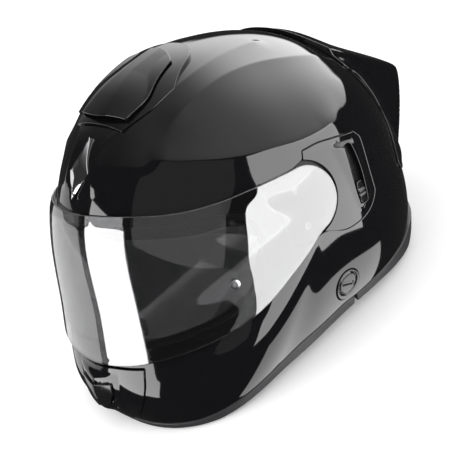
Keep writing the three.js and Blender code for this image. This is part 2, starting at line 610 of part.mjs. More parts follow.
function cheekPad(sign) {
  const back = STRAP_Y - STRAP_WIDTH / 2 - STRAP_ANCHOR.margin - 2;
  const outline = [
    ...sideView([[-88, 26], [-80, 22]]), [back - 3, at(0, 24).z], [back, at(0, 30).z], [back, at(0, 78).z],
    [back - 7, at(0, 84).z], ...sideView([[-58, 74], [-84, 62]]),
  ];
  const side = sidePrism(outline, HALF_WIDTH - CHEEK_WALL, FAR);
  const pad = swell(linerOuter - 2, GRID.coarse).intersect(side);
  return sign > 0 ? pad : pad.mirror([1, 0, 0]);
}
function neckRoll() {
  const outline = sideView([[34, 18], [96, 16], [220, 16], [220, 52], [34, 52]]);
  return skin(linerOuter - NECK_ROLL_WALL, linerOuter - 3.5, GRID.coarse).intersect(sidePrism(outline));
}
function breathGuard() {
  const outline = sideView([[-200, 64], [-100, 64], [-100, 76], [-124, 84], [-200, 84]]);
  const width = BREATH_GUARD.halfWidth;
  return skin(BREATH_GUARD.inner, BREATH_GUARD.outer, GRID.coarse).intersect(sidePrism(outline, -width, width));
}
function chinCurtain() {
  const layer = box(-FAR, FAR, -FAR, CURTAIN.back, CURTAIN.bottom, CURTAIN.top);
  return swell(-TRIM_WALL - 1, GRID.coarse).intersect(layer);
}

// ---------- chin strap ----------
const strapEnd = BUCKLE.x + BUCKLE.length / 2 + FIT_GAP;
function strap(innerX, sign) {
  const topX = anchorX - 8;
  const kneeX = anchorX - 22;
  const share = (t) => strapEnd + (kneeX - strapEnd) * t;
  const line = [
    [topX, STRAP_TOP], [anchorX - 11, 40], [kneeX, 26], [share(0.62), STRAP_Z + 2], [share(0.33), STRAP_Z],
    [innerX, STRAP_Z]];
  const inner = grow([...line, [innerX, FAR], [topX, FAR]], -STRAP_WALL).slice(0, line.length).reverse();
  inner[0] = [innerX, STRAP_Z + STRAP_WALL];
  inner[inner.length - 1] = [topX - STRAP_WALL, STRAP_TOP];
  const outline = [...line, ...inner];
  const solid = frontPrism(outline, STRAP_Y - STRAP_WIDTH / 2, STRAP_Y + STRAP_WIDTH / 2);
  return sign > 0 ? solid : solid.mirror([1, 0, 0]);
}
function strapAnchorPlate(sign) {
  const { wall, bottom, top, margin, rivetRadius } = STRAP_ANCHOR;
  const width = STRAP_WIDTH / 2 + margin;
  const inside = anchorX - 8 + FIT_GAP;
  const plate = box(inside, inside + wall, STRAP_Y - width, STRAP_Y + width, bottom, top);
  const rivet = rod('x', rivetRadius, inside + wall - 0.6, anchorX - 1.2, STRAP_Y, top - 6, 16);
  const solid = plate.add(rivet);
  return sign > 0 ? solid : solid.mirror([1, 0, 0]);
}
function ratchetStrap() {
  const { start, halfWidth, wall, pitch, toothGap, toothDepth } = RATCHET;
  const end = BUCKLE.x + BUCKLE.length / 2 - 6;
  const teeth = [];
  for (let x = start + 12; x + pitch < end - 4; x += pitch) {
    teeth.push([x, STRAP_Z], [x + pitch - toothGap, STRAP_Z - toothDepth]);
  }
  const top = STRAP_Z + wall;
  const outline = [[start, STRAP_Z], ...teeth, [end, STRAP_Z], [end, top], [start, top]];
  return frontPrism(outline, STRAP_Y - halfWidth, STRAP_Y + halfWidth);
}
const leverAxle = { x: BUCKLE.x + BUCKLE.length / 2 - 4, z: STRAP_Z - 6.4 };
function buckleBody() {
  const x0 = BUCKLE.x - BUCKLE.length / 2;
  const x1 = BUCKLE.x + BUCKLE.length / 2;
  const y0 = STRAP_Y - BUCKLE.width / 2;
  const y1 = STRAP_Y + BUCKLE.width / 2;
  const tunnel = RATCHET.halfWidth + 1.5;
  let solid = box(x0, x1, y0, y1, STRAP_Z - 3, STRAP_Z + RATCHET.wall + 3);
  solid = solid.subtract(
    box(x0 - 1, x1 + 1, STRAP_Y - tunnel, STRAP_Y + tunnel, STRAP_Z - 1.6, STRAP_Z + RATCHET.wall + 0.8));
  const { wall, half: reach } = BUCKLE.lug;
  for (const y of [y0, y1 - wall]) {
    solid = solid.add(
      box(leverAxle.x - reach, leverAxle.x + reach, y, y + wall, leverAxle.z - reach, STRAP_Z - 2));
  }
  return solid.subtract(axleRod(FAR, AXLE_RADIUS + FIT_GAP));
}
const axleRod = (reach, radius) => rod(
  'y', radius, STRAP_Y - reach, STRAP_Y + reach, leverAxle.x, leverAxle.z, 14);
const buckleAxle = () => axleRod(BUCKLE.width / 2, AXLE_RADIUS);
function buckleLever() {
  const halfWidth = BUCKLE.width / 2 - BUCKLE.lug.wall - FIT_GAP;
  const outline = [
    [3, -1.8], [3, 1.8], [1, 2.8], [-22, 2.6], [-24, 0.6], [-20, 0], [-2, -2.4],
  ].map(([x, z]) => [leverAxle.x + x, leverAxle.z + z]);
  const solid = frontPrism(outline, STRAP_Y - halfWidth, STRAP_Y + halfWidth);
  return solid.subtract(axleRod(FAR, AXLE_RADIUS + FIT_GAP));
}

// ---------- the assembly ----------
const helmet = new THREE.Group();
function place(name, solid, colour, roughness, metalness = 0) {
  const material = new THREE.MeshStandardMaterial({ color: colour, roughness, metalness });
  const mesh = new THREE.Mesh(geometryOf(solid), material);
  mesh.name = name;
  helmet.add(mesh);
}
const GLOSS_BLACK = 0x0a0a0b;
const TRIM_GREY = 0x2b2b2d;
const RUBBER = 0x151515;
const FOAM = 0x1c1c1e;
const FABRIC = 0x262628;
const STEEL = 0xb9babc;

place('outer_shell', outerShell(), GLOSS_BLACK, 0.08);
place('eyeport_gasket', eyeportGasket(), RUBBER, 0.8);
place('intercom_cap', intercomCap(), GLOSS_BLACK, 0.35);
place('forehead_badge', foreheadBadge(), STEEL, 0.1, 1);
place('rear_spoiler', rearSpoiler(), GLOSS_BLACK, 0.1);
place('top_vent_base', topVentBase(), GLOSS_BLACK, 0.1);
place('top_vent_cover', topVentCover(), GLOSS_BLACK, 0.1);
place('chin_vent_housing', chinVentHousing(), GLOSS_BLACK, 0.1);
place('chin_vent_cover', chinVentCover(), GLOSS_BLACK, 0.1);
place('bottom_trim_front', bottomTrim(-FAR, TRIM_SPLIT_Y - FIT_GAP / 2), TRIM_GREY, 0.6);
place('bottom_trim_rear', bottomTrim(TRIM_SPLIT_Y + FIT_GAP / 2, FAR), TRIM_GREY, 0.6);
place('visor', visorShield(), 0x303234, 0.05);
place('pinlock_lens', pinlockLens(), 0x404244, 0.1);
place('sun_visor', sunVisor(), 0x2a2624, 0.08);
place('slider_knob', sliderKnob(), GLOSS_BLACK, 0.4);
place('slider_carriage', sliderCarriage(), RUBBER, 0.6);
place('impact_liner', impactLiner(), FOAM, 0.9);
place('chin_liner', chinLiner(), FOAM, 0.9);
place('crown_pad', crownPad(), FABRIC, 0.95);
place('neck_roll', neckRoll(), FABRIC, 0.95);
place('breath_guard', breathGuard(), RUBBER, 0.8);
place('chin_curtain', chinCurtain(), FABRIC, 0.95);
place('ratchet_strap', ratchetStrap(), 0x202020, 0.5);
place('buckle_body', buckleBody(), STEEL, 0.3, 1);
place('buckle_axle', buckleAxle(), STEEL, 0.3, 1);
place('buckle_lever', buckleLever(), 0xa01818, 0.45);
for (const [side, sign] of sides) {
  place(`side_plate_${side}`, sidePlate(sign), GLOSS_BLACK, 0.1);
  place(`hinge_plate_${side}`, hingePlate(sign), RUBBER, 0.5);
  place(`hinge_screw_upper_${side}`, hingeScrew(sign, HINGE_SCREWS.upper), STEEL, 0.3, 1);
  place(`hinge_screw_lower_${side}`, hingeScrew(sign, HINGE_SCREWS.lower), STEEL, 0.3, 1);
  place(`spoiler_screw_${side}`, spoilerScrew(sign), STEEL, 0.3, 1);
  place(`pinlock_pin_${side}`, pinlockPin(sign), STEEL, 0.2, 1);
  place(`sun_visor_pin_${side}`, sunPin(sign), STEEL, 0.4, 1);
  place(`cheek_pad_${side}`, cheekPad(sign), FABRIC, 0.95);
  place(`strap_anchor_${side}`, strapAnchorPlate(sign), STEEL, 0.4, 1);
  place(`chin_strap_${side}`, strap(sign > 0 ? strapEnd : -RATCHET.start + FIT_GAP, sign), RUBBER, 0.9);
}

// The frame's origin is the middle of the footprint, on the ground.
const extent = new THREE.Box3().setFromObject(helmet);
for (const mesh of helmet.children) {
  mesh.geometry.translate(0, -(extent.min.y + extent.max.y) / 2, 0);
}

export default helmet;
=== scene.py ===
# Full-face motorcycle helmet in gloss black with a smoke visor, in metres, +Z up, looking along -Y.
# Shapes are worked out in millimetres in the design frame, whose origin is under the ear line, and
# moved into the row frame when a mesh is made.
import json
import math

import bpy
import numpy as np
from mathutils import Matrix, Vector
from mathutils.geometry import delaunay_2d_cdt


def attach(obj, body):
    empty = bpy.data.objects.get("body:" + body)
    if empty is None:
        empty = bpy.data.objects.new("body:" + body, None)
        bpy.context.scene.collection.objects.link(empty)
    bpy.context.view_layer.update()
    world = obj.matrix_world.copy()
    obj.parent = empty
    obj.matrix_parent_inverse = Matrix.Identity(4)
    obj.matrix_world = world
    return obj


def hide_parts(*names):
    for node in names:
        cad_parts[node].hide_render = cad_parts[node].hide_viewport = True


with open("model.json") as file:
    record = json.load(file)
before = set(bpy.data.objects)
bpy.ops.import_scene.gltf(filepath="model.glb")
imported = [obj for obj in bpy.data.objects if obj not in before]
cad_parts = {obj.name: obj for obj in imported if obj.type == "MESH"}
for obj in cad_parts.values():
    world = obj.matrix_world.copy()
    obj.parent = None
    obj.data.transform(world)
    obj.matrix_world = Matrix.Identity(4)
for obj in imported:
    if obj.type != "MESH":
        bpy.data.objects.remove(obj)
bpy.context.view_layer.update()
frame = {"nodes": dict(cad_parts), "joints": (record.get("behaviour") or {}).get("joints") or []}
joints = {joint["name"]: joint for joint in frame["joints"]}

MM = 0.001
SIDES = (("left", 1), ("right", -1))

# ---------- driving dimensions, in millimetres ----------
CENTRE = np.array([0.0, 5.0, 103.0])
HALF_WIDTH = 124.0
CENTRE_OUTLINE = [
    (-162, 6), (-165.5, 30), (-156.5, 57), (-137, 113), (-116.5, 164), (-88, 196), (-54, 214), (-8, 226.5),
    (45, 220), (90, 202), (126, 170), (147, 124), (148, 78), (142, 33), (131, 4), (120, -16),
    (90, -38), (0, -45), (-90, -50), (-138, -36),
]
SQUARENESS = [
    (0, 2.2), (45, 2.15), (90, 2.1), (125, 1.95), (142, 1.8), (158, 1.85), (175, 2.0), (190, 2.05),
    (202, 2.15), (212, 2.65), (228, 2.3), (242, 2.25), (270, 2.3), (315, 2.3),
]
SHELL_WALL = 3.8
FIT_GAP = 0.4
POCKET_DEPTH = 2.2
VISOR_WALL = 2.2
VISOR_GAP = 1.9
VISOR_FRONT_LIFT = 0.6
VISOR_END = (-4.5, 119.5)
VISOR_END_RADIUS = 25.5
PIVOT = (9.0, 110.0)
GASKET_WIDTH = 4.0
PINLOCK_WALL = 1.3
PINLOCK_MARGIN = 8.0
SLOT_BOTTOM = np.array([41.0, 87.0])
SLOT_TOP = np.array([49.0, 131.0])
SLOT_WIDTH = 7.5
KNOB_LENGTH = 16.0
CAP_CENTRE = np.array([4.0, 37.0])
CAP_RADIUS = 12.0
TRIM_WALL = 6.0
TRIM_SPLIT_Y = 12.0
LINER_OUTER = -5.0
LINER_INNER = -31.0
# The row frame's y is the design frame's y plus this.
SHIFT_Y = joints["visor_hinge"]["pos_m"][1] / MM - PIVOT[0]


# ---------- the analytic surface ----------
def unit(v):
    return v / np.linalg.norm(v, axis=-1, keepdims=True)


def smoothstep(x, low, high):
    t = np.clip((x - low) / (high - low), 0, 1)
    return t * t * (3 - 2 * t)


def periodic_spline(pairs):
    """Periodic cubic spline through (angle, value) pairs, as a function of an array of angles."""
    knots = np.array(sorted(pairs), float)
    angle, value = knots[:, 0], knots[:, 1]
    n = len(knots)
    step = np.diff(np.append(angle, angle[0] + 2 * np.pi))
    rise = (np.roll(value, -1) - value) / step
    before = np.roll(step, 1)
    system = np.zeros((n, n))
    for i in range(n):
        system[i, i - 1] += before[i]
        system[i, i] += 2 * (before[i] + step[i])
        system[i, (i + 1) % n] += step[i]
    bend = np.linalg.solve(system, 6 * (rise - np.roll(rise, 1)))

    def value_at(a):
        a = angle[0] + np.mod(a - angle[0], 2 * np.pi)
        i = np.clip(np.searchsorted(angle, a, side="right") - 1, 0, n - 1)
        after = (i + 1) % n
        h = step[i]
        t = a - angle[i]
        slope = rise[i] - h * (2 * bend[i] + bend[after]) / 6
        return value[i] + t * (slope + t * (bend[i] / 2 + t * (bend[after] - bend[i]) / (6 * h)))

    return value_at


outline_radius = periodic_spline([
    (math.atan2(z - CENTRE[2], y - CENTRE[1]), math.hypot(y - CENTRE[1], z - CENTRE[2]))
    for y, z in CENTRE_OUTLINE
])
squareness = periodic_spline([(math.radians(deg if deg <= 180 else deg - 360), n) for deg, n in SQUARENESS])
RIDGE_SOFTNESS = 0.03      # of a direction's sideways share, so that the centre plane shows no crease


def surface_radius(d):
    """Distance from CENTRE to the surface along unit directions."""
    angle = np.arctan2(d[:, 2], d[:, 1])
    n = squareness(angle)
    aside = np.sqrt(d[:, 0] ** 2 + RIDGE_SOFTNESS ** 2) - RIDGE_SOFTNESS
    total = (np.hypot(d[:, 1], d[:, 2]) / outline_radius(angle)) ** n + (aside / HALF_WIDTH) ** n
    return total ** (-1 / n)


def lift_of(lift, d):
    return lift(d) if callable(lift) else lift * np.ones(len(d))


def surface(d, lift=0.0):
    """Points on the surface moved out by a lift: a number, one for each direction, or a function of them."""
    return CENTRE + d * (surface_radius(d) + lift_of(lift, d))[:, None]


def tangents(d):
    """Two unit vectors for each direction, square to it and to each other."""
    along = unit(np.cross(d, np.array([0.31, 0.52, 0.79])))
    return along, np.cross(d, along)


NORMAL_REACH = 2.5e-3       # radians to each side


def surface_normal(d, lift=0.0):
    along, beside = (NORMAL_REACH * v for v in tangents(d))
    a = surface(unit(d + along), lift) - surface(unit(d - along), lift)
    b = surface(unit(d + beside), lift) - surface(unit(d - beside), lift)
    n = unit(np.cross(a, b))
    return n * np.sign(np.sum(n * d, axis=1))[:, None]


def direction(points):
    return unit(points - CENTRE)


def on_side(outline, sign=1):
    """Directions of the surface where side-view points (y, z) are."""
    y = outline[:, 0] - CENTRE[1]
    z = outline[:, 1] - CENTRE[2]
    angle = np.arctan2(z, y)
    n = squareness(angle)
    reach = np.clip(np.hypot(y, z) / outline_radius(angle), 0, 1)
    x = HALF_WIDTH * (1 - reach ** n) ** (1 / n)
    return unit(np.stack([sign * x, y, z], axis=1))


BISECTIONS = 34


def drop_onto(points, towards):
    """Directions of the surface reached from points inside it along a direction."""
    near = np.zeros(len(points))
    far = np.full(len(points), 260.0)
    for _ in range(BISECTIONS):
        middle = (near + far) / 2
        p = points + middle[:, None] * towards - CENTRE
        size = np.linalg.norm(p, axis=1)
        inside = size < surface_radius(p / size[:, None])
        near = np.where(inside, middle, near)
        far = np.where(inside, far, middle)
    return direction(points + near[:, None] * towards)


def on_front(outline):
    """Directions of the surface where front-view points (x, z) are."""
    return drop_onto(np.insert(outline, 1, CENTRE[1], axis=1), np.array([0, -1.0, 0]))


def on_top(outline):
    """Directions of the surface where top-view points (x, y) are."""
    return drop_onto(np.insert(outline, 2, CENTRE[2], axis=1), np.array([0, 0, 1.0]))


# ---------- curves ----------
def spread(points, spacing, closed=True):
    """The polyline again, with points evenly spaced along it."""
    run = np.vstack([points, points[:1]]) if closed else points
    length = np.concatenate([[0], np.cumsum(np.linalg.norm(np.diff(run, axis=0), axis=1))])
    count = max(3, int(round(length[-1] / spacing)))
    at = np.linspace(0, length[-1], count + 1)
    if closed:
        at = at[:-1]
    return np.stack([np.interp(at, length, run[:, k]) for k in range(run.shape[1])], axis=1)


FLOWING_STEP = 0.5


def flowing(points, closed=True, corner_deg=38):
    """A smooth curve through the points that keeps a corner wherever they turn sharply."""
    p = np.array(points, float)
    n = len(p)
    chord = np.roll(p, -1, axis=0) - p
    size = np.linalg.norm(chord, axis=1)
    before = np.roll(chord, 1, axis=0)
    turn = np.degrees(np.arccos(np.clip(np.sum(unit(chord) * unit(before), axis=1), -1, 1)))
    corner = turn > corner_deg
    if not closed:
        corner[0] = corner[-1] = True
    back = np.roll(size, 1)
    tangent = (before * (size / back)[:, None] + chord * (back / size)[:, None]) / (size + back)[:, None]
    made = []
    for i in range(n if closed else n - 1):
        j = (i + 1) % n
        straight = chord[i] / size[i]
        m0 = straight if corner[i] else tangent[i]
        m1 = straight if corner[j] else tangent[j]
        t = np.linspace(0, 1, max(2, int(size[i] / FLOWING_STEP) + 1))[:-1, None]
        made.append((2 * t ** 3 - 3 * t ** 2 + 1) * p[i] + (t ** 3 - 2 * t ** 2 + t) * size[i] * m0
                    + (3 * t ** 2 - 2 * t ** 3) * p[j] + (t ** 3 - t ** 2) * size[i] * m1)
    if not closed:
        made.append(p[-1:])
    return np.vstack(made)


def arc(centre, radius, from_deg, to_deg, steps):
    a = np.radians(np.linspace(from_deg, to_deg, steps + 1))
    return [(centre[0] + radius * math.cos(t), centre[1] + radius * math.sin(t)) for t in a]


def signed_area(p):
    """Twice the area of a closed outline, above zero when it runs anticlockwise."""
    return np.sum(p[:, 0] * np.roll(p[:, 1], -1) - p[:, 1] * np.roll(p[:, 0], -1))


def grow(points, distance):
    """The closed outline moved outwards by a distance, or inwards when it is negative."""
    p = np.array(points, float)
    out = np.sign(signed_area(p)) * distance
    chord = unit(np.roll(p, -1, axis=0) - p)
    normal = np.stack([chord[:, 1], -chord[:, 0]], axis=1)
    last = np.roll(normal, 1, axis=0)
    mean = unit(normal + last)
    return p + mean * (out / np.maximum(0.5, np.sum(mean * last, axis=1)))[:, None]


def mirror_pairs(half):
    """A closed outline from its half with x above zero."""
    return [tuple(p) for p in half] + [(-a, b) for a, b in reversed(half)]


CROSSING_BISECTIONS = 40
END_POINTS = 30     # where a curve meets the centre plane, crowded towards it


def across(outline, spacing=2.0):
    """Surface loop cut right through by an open side-view curve whose ends lie outside the profile."""
    p = np.array(outline, float)
    y, z = p[:, 0] - CENTRE[1], p[:, 1] - CENTRE[2]
    inside = np.hypot(y, z) < outline_radius(np.arctan2(z, y))
    first, last = np.flatnonzero(inside)[[0, -1]]

    def crossing(a, b):
        for _ in range(CROSSING_BISECTIONS):
            m = (a + b) / 2
            my, mz = m - CENTRE[1:]
            within = math.hypot(my, mz) < outline_radius(np.array([math.atan2(mz, my)]))[0]
            a, b = (a, m) if within else (m, b)
        return (a + b) / 2

    start, end = crossing(p[first], p[first - 1]), crossing(p[last], p[last + 1])
    dense = (np.linspace(0, 1, END_POINTS)[:, None]) ** 2
    head = start + (p[first + 1] - start) * dense
    tail = end + (p[last - 1] - end) * dense
    side = np.vstack([head, p[first + 2:last - 1], tail[::-1]])
    left = surface(on_side(side))
    left[0, 0] = left[-1, 0] = 0
    left = spread(left, spacing, closed=False)
    right = left[::-1] * [-1, 1, 1]
    return direction(np.vstack([left, right[1:-1]]))


RIM_RADIUS = 135.0
RIM_SPACING = 2.2
RIM_TILTS = (-1.45, 0.3)    # radians above the horizon seen from CENTRE, between which a rim lies


def rim(line, raised=0.0):
    """Surface loop round the helmet at the height that a side-view line gives for each y."""
    line = np.array(line, float)
    count = int(2 * math.pi * RIM_RADIUS / RIM_SPACING)
    turn = np.arange(count) * 2 * math.pi / count
    level = np.stack([np.cos(turn), np.sin(turn)], axis=1)
    low, high = (np.full(count, tilt) for tilt in RIM_TILTS)
    for _ in range(BISECTIONS):
        tilt = (low + high) / 2
        d = np.concatenate([level * np.cos(tilt)[:, None], np.sin(tilt)[:, None]], axis=1)
        p = surface(d)
        above = p[:, 2] > np.interp(p[:, 1], line[:, 0], line[:, 1]) + raised
        high = np.where(above, tilt, high)
        low = np.where(above, low, tilt)
    return d


# ---------- meshes ----------
def piece(name, vertices, faces, corner_normals=None, material=None, body="shell", replaces=(), slot=None):
    """A mesh in the row frame from design-frame millimetres, riding on a body."""
    shift = np.array([0, SHIFT_Y, 0])
    mesh = bpy.data.meshes.new(name)
    mesh.from_pydata(((np.asarray(vertices) + shift) * MM).tolist(), [], faces)
    mesh.shade_smooth()
    if corner_normals is not None:
        mesh.normals_split_custom_set([tuple(n) for n in corner_normals])
    thing = bpy.data.objects.new(name, mesh)
    bpy.context.scene.collection.objects.link(thing)
    mesh.materials.append(material)
    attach(thing, body)
    if replaces:
        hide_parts(*replaces)
    return thing


def in_polygon(points, loop):
    """Which points of a plane lie inside a closed loop."""
    inside = np.zeros(len(points), bool)
    x, y = points[:, 0], points[:, 1]
    for (ax, ay), (bx, by) in zip(loop, np.roll(loop, -1, axis=0)):
        if ay == by:
            continue
        crosses = (ay > y) != (by > y)
        inside ^= crosses & (x < (bx - ax) * (y - ay) / (by - ay) + ax)
    return inside


def nearest(points, others):
    """Each point's distance to the nearest of the others."""
    best = np.full(len(points), 1e9)
    for start in range(0, len(others), 64):
        gap = points[:, None] - others[None, start:start + 64]
        best = np.minimum(best, np.sqrt((gap ** 2).sum(2)).min(1))
    return best


ROUNDING = np.radians([90, 62, 32, 0])
LINE_ROWS = (-1.9, -0.9, -0.35, 0, 0.35, 0.9, 1.9)
CROWN = unit(np.array([0, 0.15, 1.0]))
LATTICE_RADIUS = 140.0


def plane_about(centre):
    """Stereographic map from directions to the plane that touches the unit sphere at centre."""
    e1 = unit(np.cross(np.array([0.02, 0.99, 0.3]), centre))
    e2 = np.cross(centre, e1)
    return lambda d: np.stack([d @ e1, d @ e2], axis=1) * (2 / (1 + d @ centre))[:, None]


def even_lattice(spacing):
    """Directions spread evenly in a spiral whose poles lie on the X axis."""
    count = int(4 * math.pi * LATTICE_RADIUS ** 2 / (spacing ** 2 * 0.87))
    k = np.arange(count) + 0.5
    turn = k * math.pi * (3 - math.sqrt(5))
    height = 1 - 2 * k / count
    level = np.sqrt(1 - height ** 2)
    return np.stack([height, level * np.cos(turn), level * np.sin(turn)], axis=1)


def border_of(loop, edge):
    """Rows of directions from a loop in over its rounded edge, and the loop's outward vectors."""
    p = surface(loop)
    tangent = unit(np.roll(p, -1, axis=0) - np.roll(p, 1, axis=0))
    inward = unit(np.cross(surface_normal(loop), tangent))
    return [direction(p + inward * edge * (1 - math.sin(a))) for a in ROUNDING], -inward


def rows_along(line, soft):
    """Rows of directions on both sides of a surface line, closer together near it."""
    d = direction(line)
    p = surface(d)
    aside = unit(np.cross(surface_normal(d), unit(np.gradient(p, axis=0))))
    return [direction(p + aside * soft * share) for share in LINE_ROWS]


def triangulated(plane, loops, within):
    """Triangles between points of a plane; the first points are the loops', whose edges are kept."""
    edges, start = [], 0
    for loop in loops:
        edges += [(start + i, start + (i + 1) % len(loop)) for i in range(len(loop))]
        start += len(loop)
    found = delaunay_2d_cdt([Vector(v) for v in plane.tolist()], edges, [], 0, 1e-9)
    origin = [src[0] if src else -1 for src in found[3]]
    triangles = np.array([[origin[v] for v in face] for face in found[2]])
    triangles = triangles[(triangles >= 0).all(axis=1)]
    corners = plane[triangles]
    area = np.cross(corners[:, 1] - corners[:, 0], corners[:, 2] - corners[:, 0])
    triangles = np.where((area > 0)[:, None], triangles, triangles[:, ::-1])
    triangles = triangles[np.abs(area) > 1e-12]
    return triangles[within(plane[triangles].mean(axis=1))]


def following(row):
    return np.roll(row, -1, axis=0)


def skin(name, loops, bottom, top, edge=0.6, spacing=4.0, lines=(), whole=False, **kwargs):
    """A closed panel lying on the surface: the region inside the first loop and outside the others.

    Loops are arrays of directions. bottom and top are lifts, edge is the radius that rounds the
    panel's upper edges, and lines are (surface polyline, softness) that the mesh follows closely.
    A whole panel reaches round the helmet, so it is laid out about the crown.
    """
    middle = np.mean(spread(loops[0], 0.02), axis=0)
    centre = CROWN if whole or np.linalg.norm(middle) <= 0.25 else unit(middle)
    flat = plane_about(centre)
    loops = [loop if (signed_area(flat(loop)) > 0) == (i == 0) else loop[::-1]
             for i, loop in enumerate(loops)]
    borders = [border_of(loop, edge) for loop in loops]
    ring = np.vstack([rows[-1] for rows, _ in borders])
    ring_points = surface(ring)
    inner = [flat(rows[-1]) for rows, _ in borders]

    def within(q):
        ok = in_polygon(q, inner[0])
        for hole in inner[1:]:
            ok &= ~in_polygon(q, hole)
        return ok

    lattice = even_lattice(spacing)
    lattice = lattice[lattice @ centre > -0.93]
    followed = []
    if lines:
        rows = np.vstack([row for line, soft in lines for row in rows_along(line, soft)])
        points = surface(rows)
        lattice = lattice[nearest(surface(lattice), points) > 0.62 * spacing]
        followed = [rows[within(flat(rows)) & (nearest(points, ring_points) > 0.5 * spacing)]]
    lattice = lattice[within(flat(lattice))]
    lattice = lattice[nearest(surface(lattice), ring_points) > 0.6 * spacing]
    base = np.vstack([ring, lattice, *followed])
    triangles = triangulated(flat(base), inner, within)

    up, down = surface_normal(base, top), -surface_normal(base, bottom)
    vertices = [surface(base, top), surface(base, bottom)]
    faces = triangles.tolist() + (triangles[:, ::-1] + len(base)).tolist()
    normals = [up[triangles.ravel()], down[triangles[:, ::-1].ravel()]]

    def strip(*corners):
        """A quad for each point of a loop, from four rows of corners and their normals."""
        faces.extend(np.stack([row for row, _ in corners], axis=1).tolist())
        normals.append(np.stack([n for _, n in corners], axis=1).reshape(-1, 3))

    total, start = 2 * len(base), 0
    for rows, out in borders:
        here = np.arange(len(out))
        wall = []
        for row, a in zip(rows[:-1], ROUNDING[:-1]):
            vertices.append(surface(row, lift_of(top, row) - edge * (1 - math.cos(a))))
            wall.append(total + here)
            total += len(here)
        wall.append(start + here)
        vertices.append(surface(rows[0], bottom))
        foot = total + here
        total += len(here)
        sole = len(base) + start + here
        under = down[start:start + len(here)]
        facing = [unit(up[start:start + len(here)] * math.cos(a) + out * math.sin(a)) for a in ROUNDING]
        for a, b, normal_a, normal_b in zip(wall, wall[1:], facing, facing[1:]):
            strip((a, normal_a), (following(a), following(normal_a)),
                  (following(b), following(normal_b)), (b, normal_b))
        strip((wall[0], out), (foot, out), (following(foot), following(out)),
              (following(wall[0]), following(out)))
        strip((foot, under), (sole, under), (following(sole), following(under)),
              (following(foot), following(under)))
        start += len(here)
    return piece(name, np.vstack(vertices), faces, np.vstack(normals), **kwargs)


def lathe(profile, frame_at, steps=40):
    """Vertices and faces of a closed solid of revolution; profile is (radius, height) from axis to axis."""
    profile = np.array(profile, float)
    angle = np.arange(steps) * 2 * math.pi / steps
    vertices, faces = [(0, 0, profile[0, 1])], []
    for radius, height in profile[1:-1]:
        vertices += [(radius * math.cos(a), radius * math.sin(a), height) for a in angle]
    vertices.append((0, 0, profile[-1, 1]))
    rows = len(profile) - 2
    last = len(vertices) - 1
    for i in range(steps):
        j = (i + 1) % steps
        faces.append((0, 1 + i, 1 + j))
        for k in range(rows - 1):
            a, b = 1 + k * steps, 1 + (k + 1) * steps
            faces.append((a + i, b + i, b + j, a + j))
        faces.append((last, 1 + (rows - 1) * steps + j, 1 + (rows - 1) * steps + i))
    v = np.array(vertices) @ frame_at[:3, :3].T + frame_at[:3, 3]
    return v, faces


def standing(point, axis):
    """Frame whose third axis is axis and whose origin is point."""
    axis = unit(np.array(axis, float))
    first = unit(np.cross([0.1, 0.2, 0.97], axis))
    m = np.eye(4)
    m[:3, 0], m[:3, 1], m[:3, 2], m[:3, 3] = first, np.cross(axis, first), axis, point
    return m


# ---------- materials ----------
NOISE_RANGE = (0.3, 0.7)    # between which nearly all of a noise texture's values lie


def added(tree, kind, inputs, **settings):
    """A new shader node; inputs holds numbers or sockets, by name or place."""
    node = tree.nodes.new("ShaderNode" + kind)
    for key, value in settings.items():
        setattr(node, key, value)
    for key, value in inputs.items():
        if isinstance(value, bpy.types.NodeSocket):
            tree.links.new(value, node.inputs[key])
        else:
            node.inputs[key].default_value = value
    return node


def material(name, colour, roughness, metallic=0.0, coat=0.0, coat_roughness=0.03, sheen=0.0, ior=1.5,
             specular=0.5, transmission=0.0, coat_ior=1.5, mottle=(0, 1), speckle=(0, 1), bumps=()):
    """Principled material: mottle shades the colour and speckle the roughness, each (amount, scale).

    bumps are (kind, scale, depth). Scales are per metre of the object, and depths are in millimetres.
    """
    made = bpy.data.materials.new(name)
    made.use_nodes = True
    tree = made.node_tree
    where = added(tree, "TexCoord", {}).outputs["Object"]
    put = tree.nodes["Principled BSDF"].inputs
    for key, value in {"Roughness": roughness, "Metallic": metallic, "Coat Weight": coat,
                       "Coat Roughness": coat_roughness, "Coat IOR": coat_ior, "Sheen Weight": sheen,
                       "IOR": ior, "Specular IOR Level": specular, "Transmission Weight": transmission,
                       "Base Color": (*colour, 1)}.items():
        put[key].default_value = value

    def noise(scale, detail=4.0):
        return added(tree, "TexNoise", {"Vector": where, "Scale": scale, "Detail": detail}).outputs["Fac"]

    def height_of(kind, scale):
        if kind == "noise":
            return noise(scale, 3.0)
        if kind == "cells":
            return added(tree, "TexVoronoi", {"Vector": where, "Scale": scale}).outputs["Distance"]
        return woven(tree, where, scale)

    amount, scale = mottle
    if amount:
        ramp = added(tree, "ValToRGB", {"Fac": noise(scale)})
        for element, position, share in zip(ramp.color_ramp.elements, NOISE_RANGE, (1 - amount, 1 + amount)):
            element.position = position
            element.color = (*[min(1, c * share) for c in colour], 1)
        tree.links.new(ramp.outputs["Color"], put["Base Color"])
    amount, scale = speckle
    if amount:
        varied = added(tree, "MapRange", {
            "Value": noise(scale), "From Min": NOISE_RANGE[0], "From Max": NOISE_RANGE[1],
            "To Min": max(0, roughness - amount), "To Max": roughness + amount})
        tree.links.new(varied.outputs["Result"], put["Roughness"])
    normal = None
    for kind, scale, depth in bumps:
        bump = added(tree, "Bump", {"Distance": depth * MM, "Height": height_of(kind, scale)})
        if normal:
            tree.links.new(normal, bump.inputs["Normal"])
        normal = bump.outputs["Normal"]
    if normal:
        tree.links.new(normal, put["Normal"])
    return made


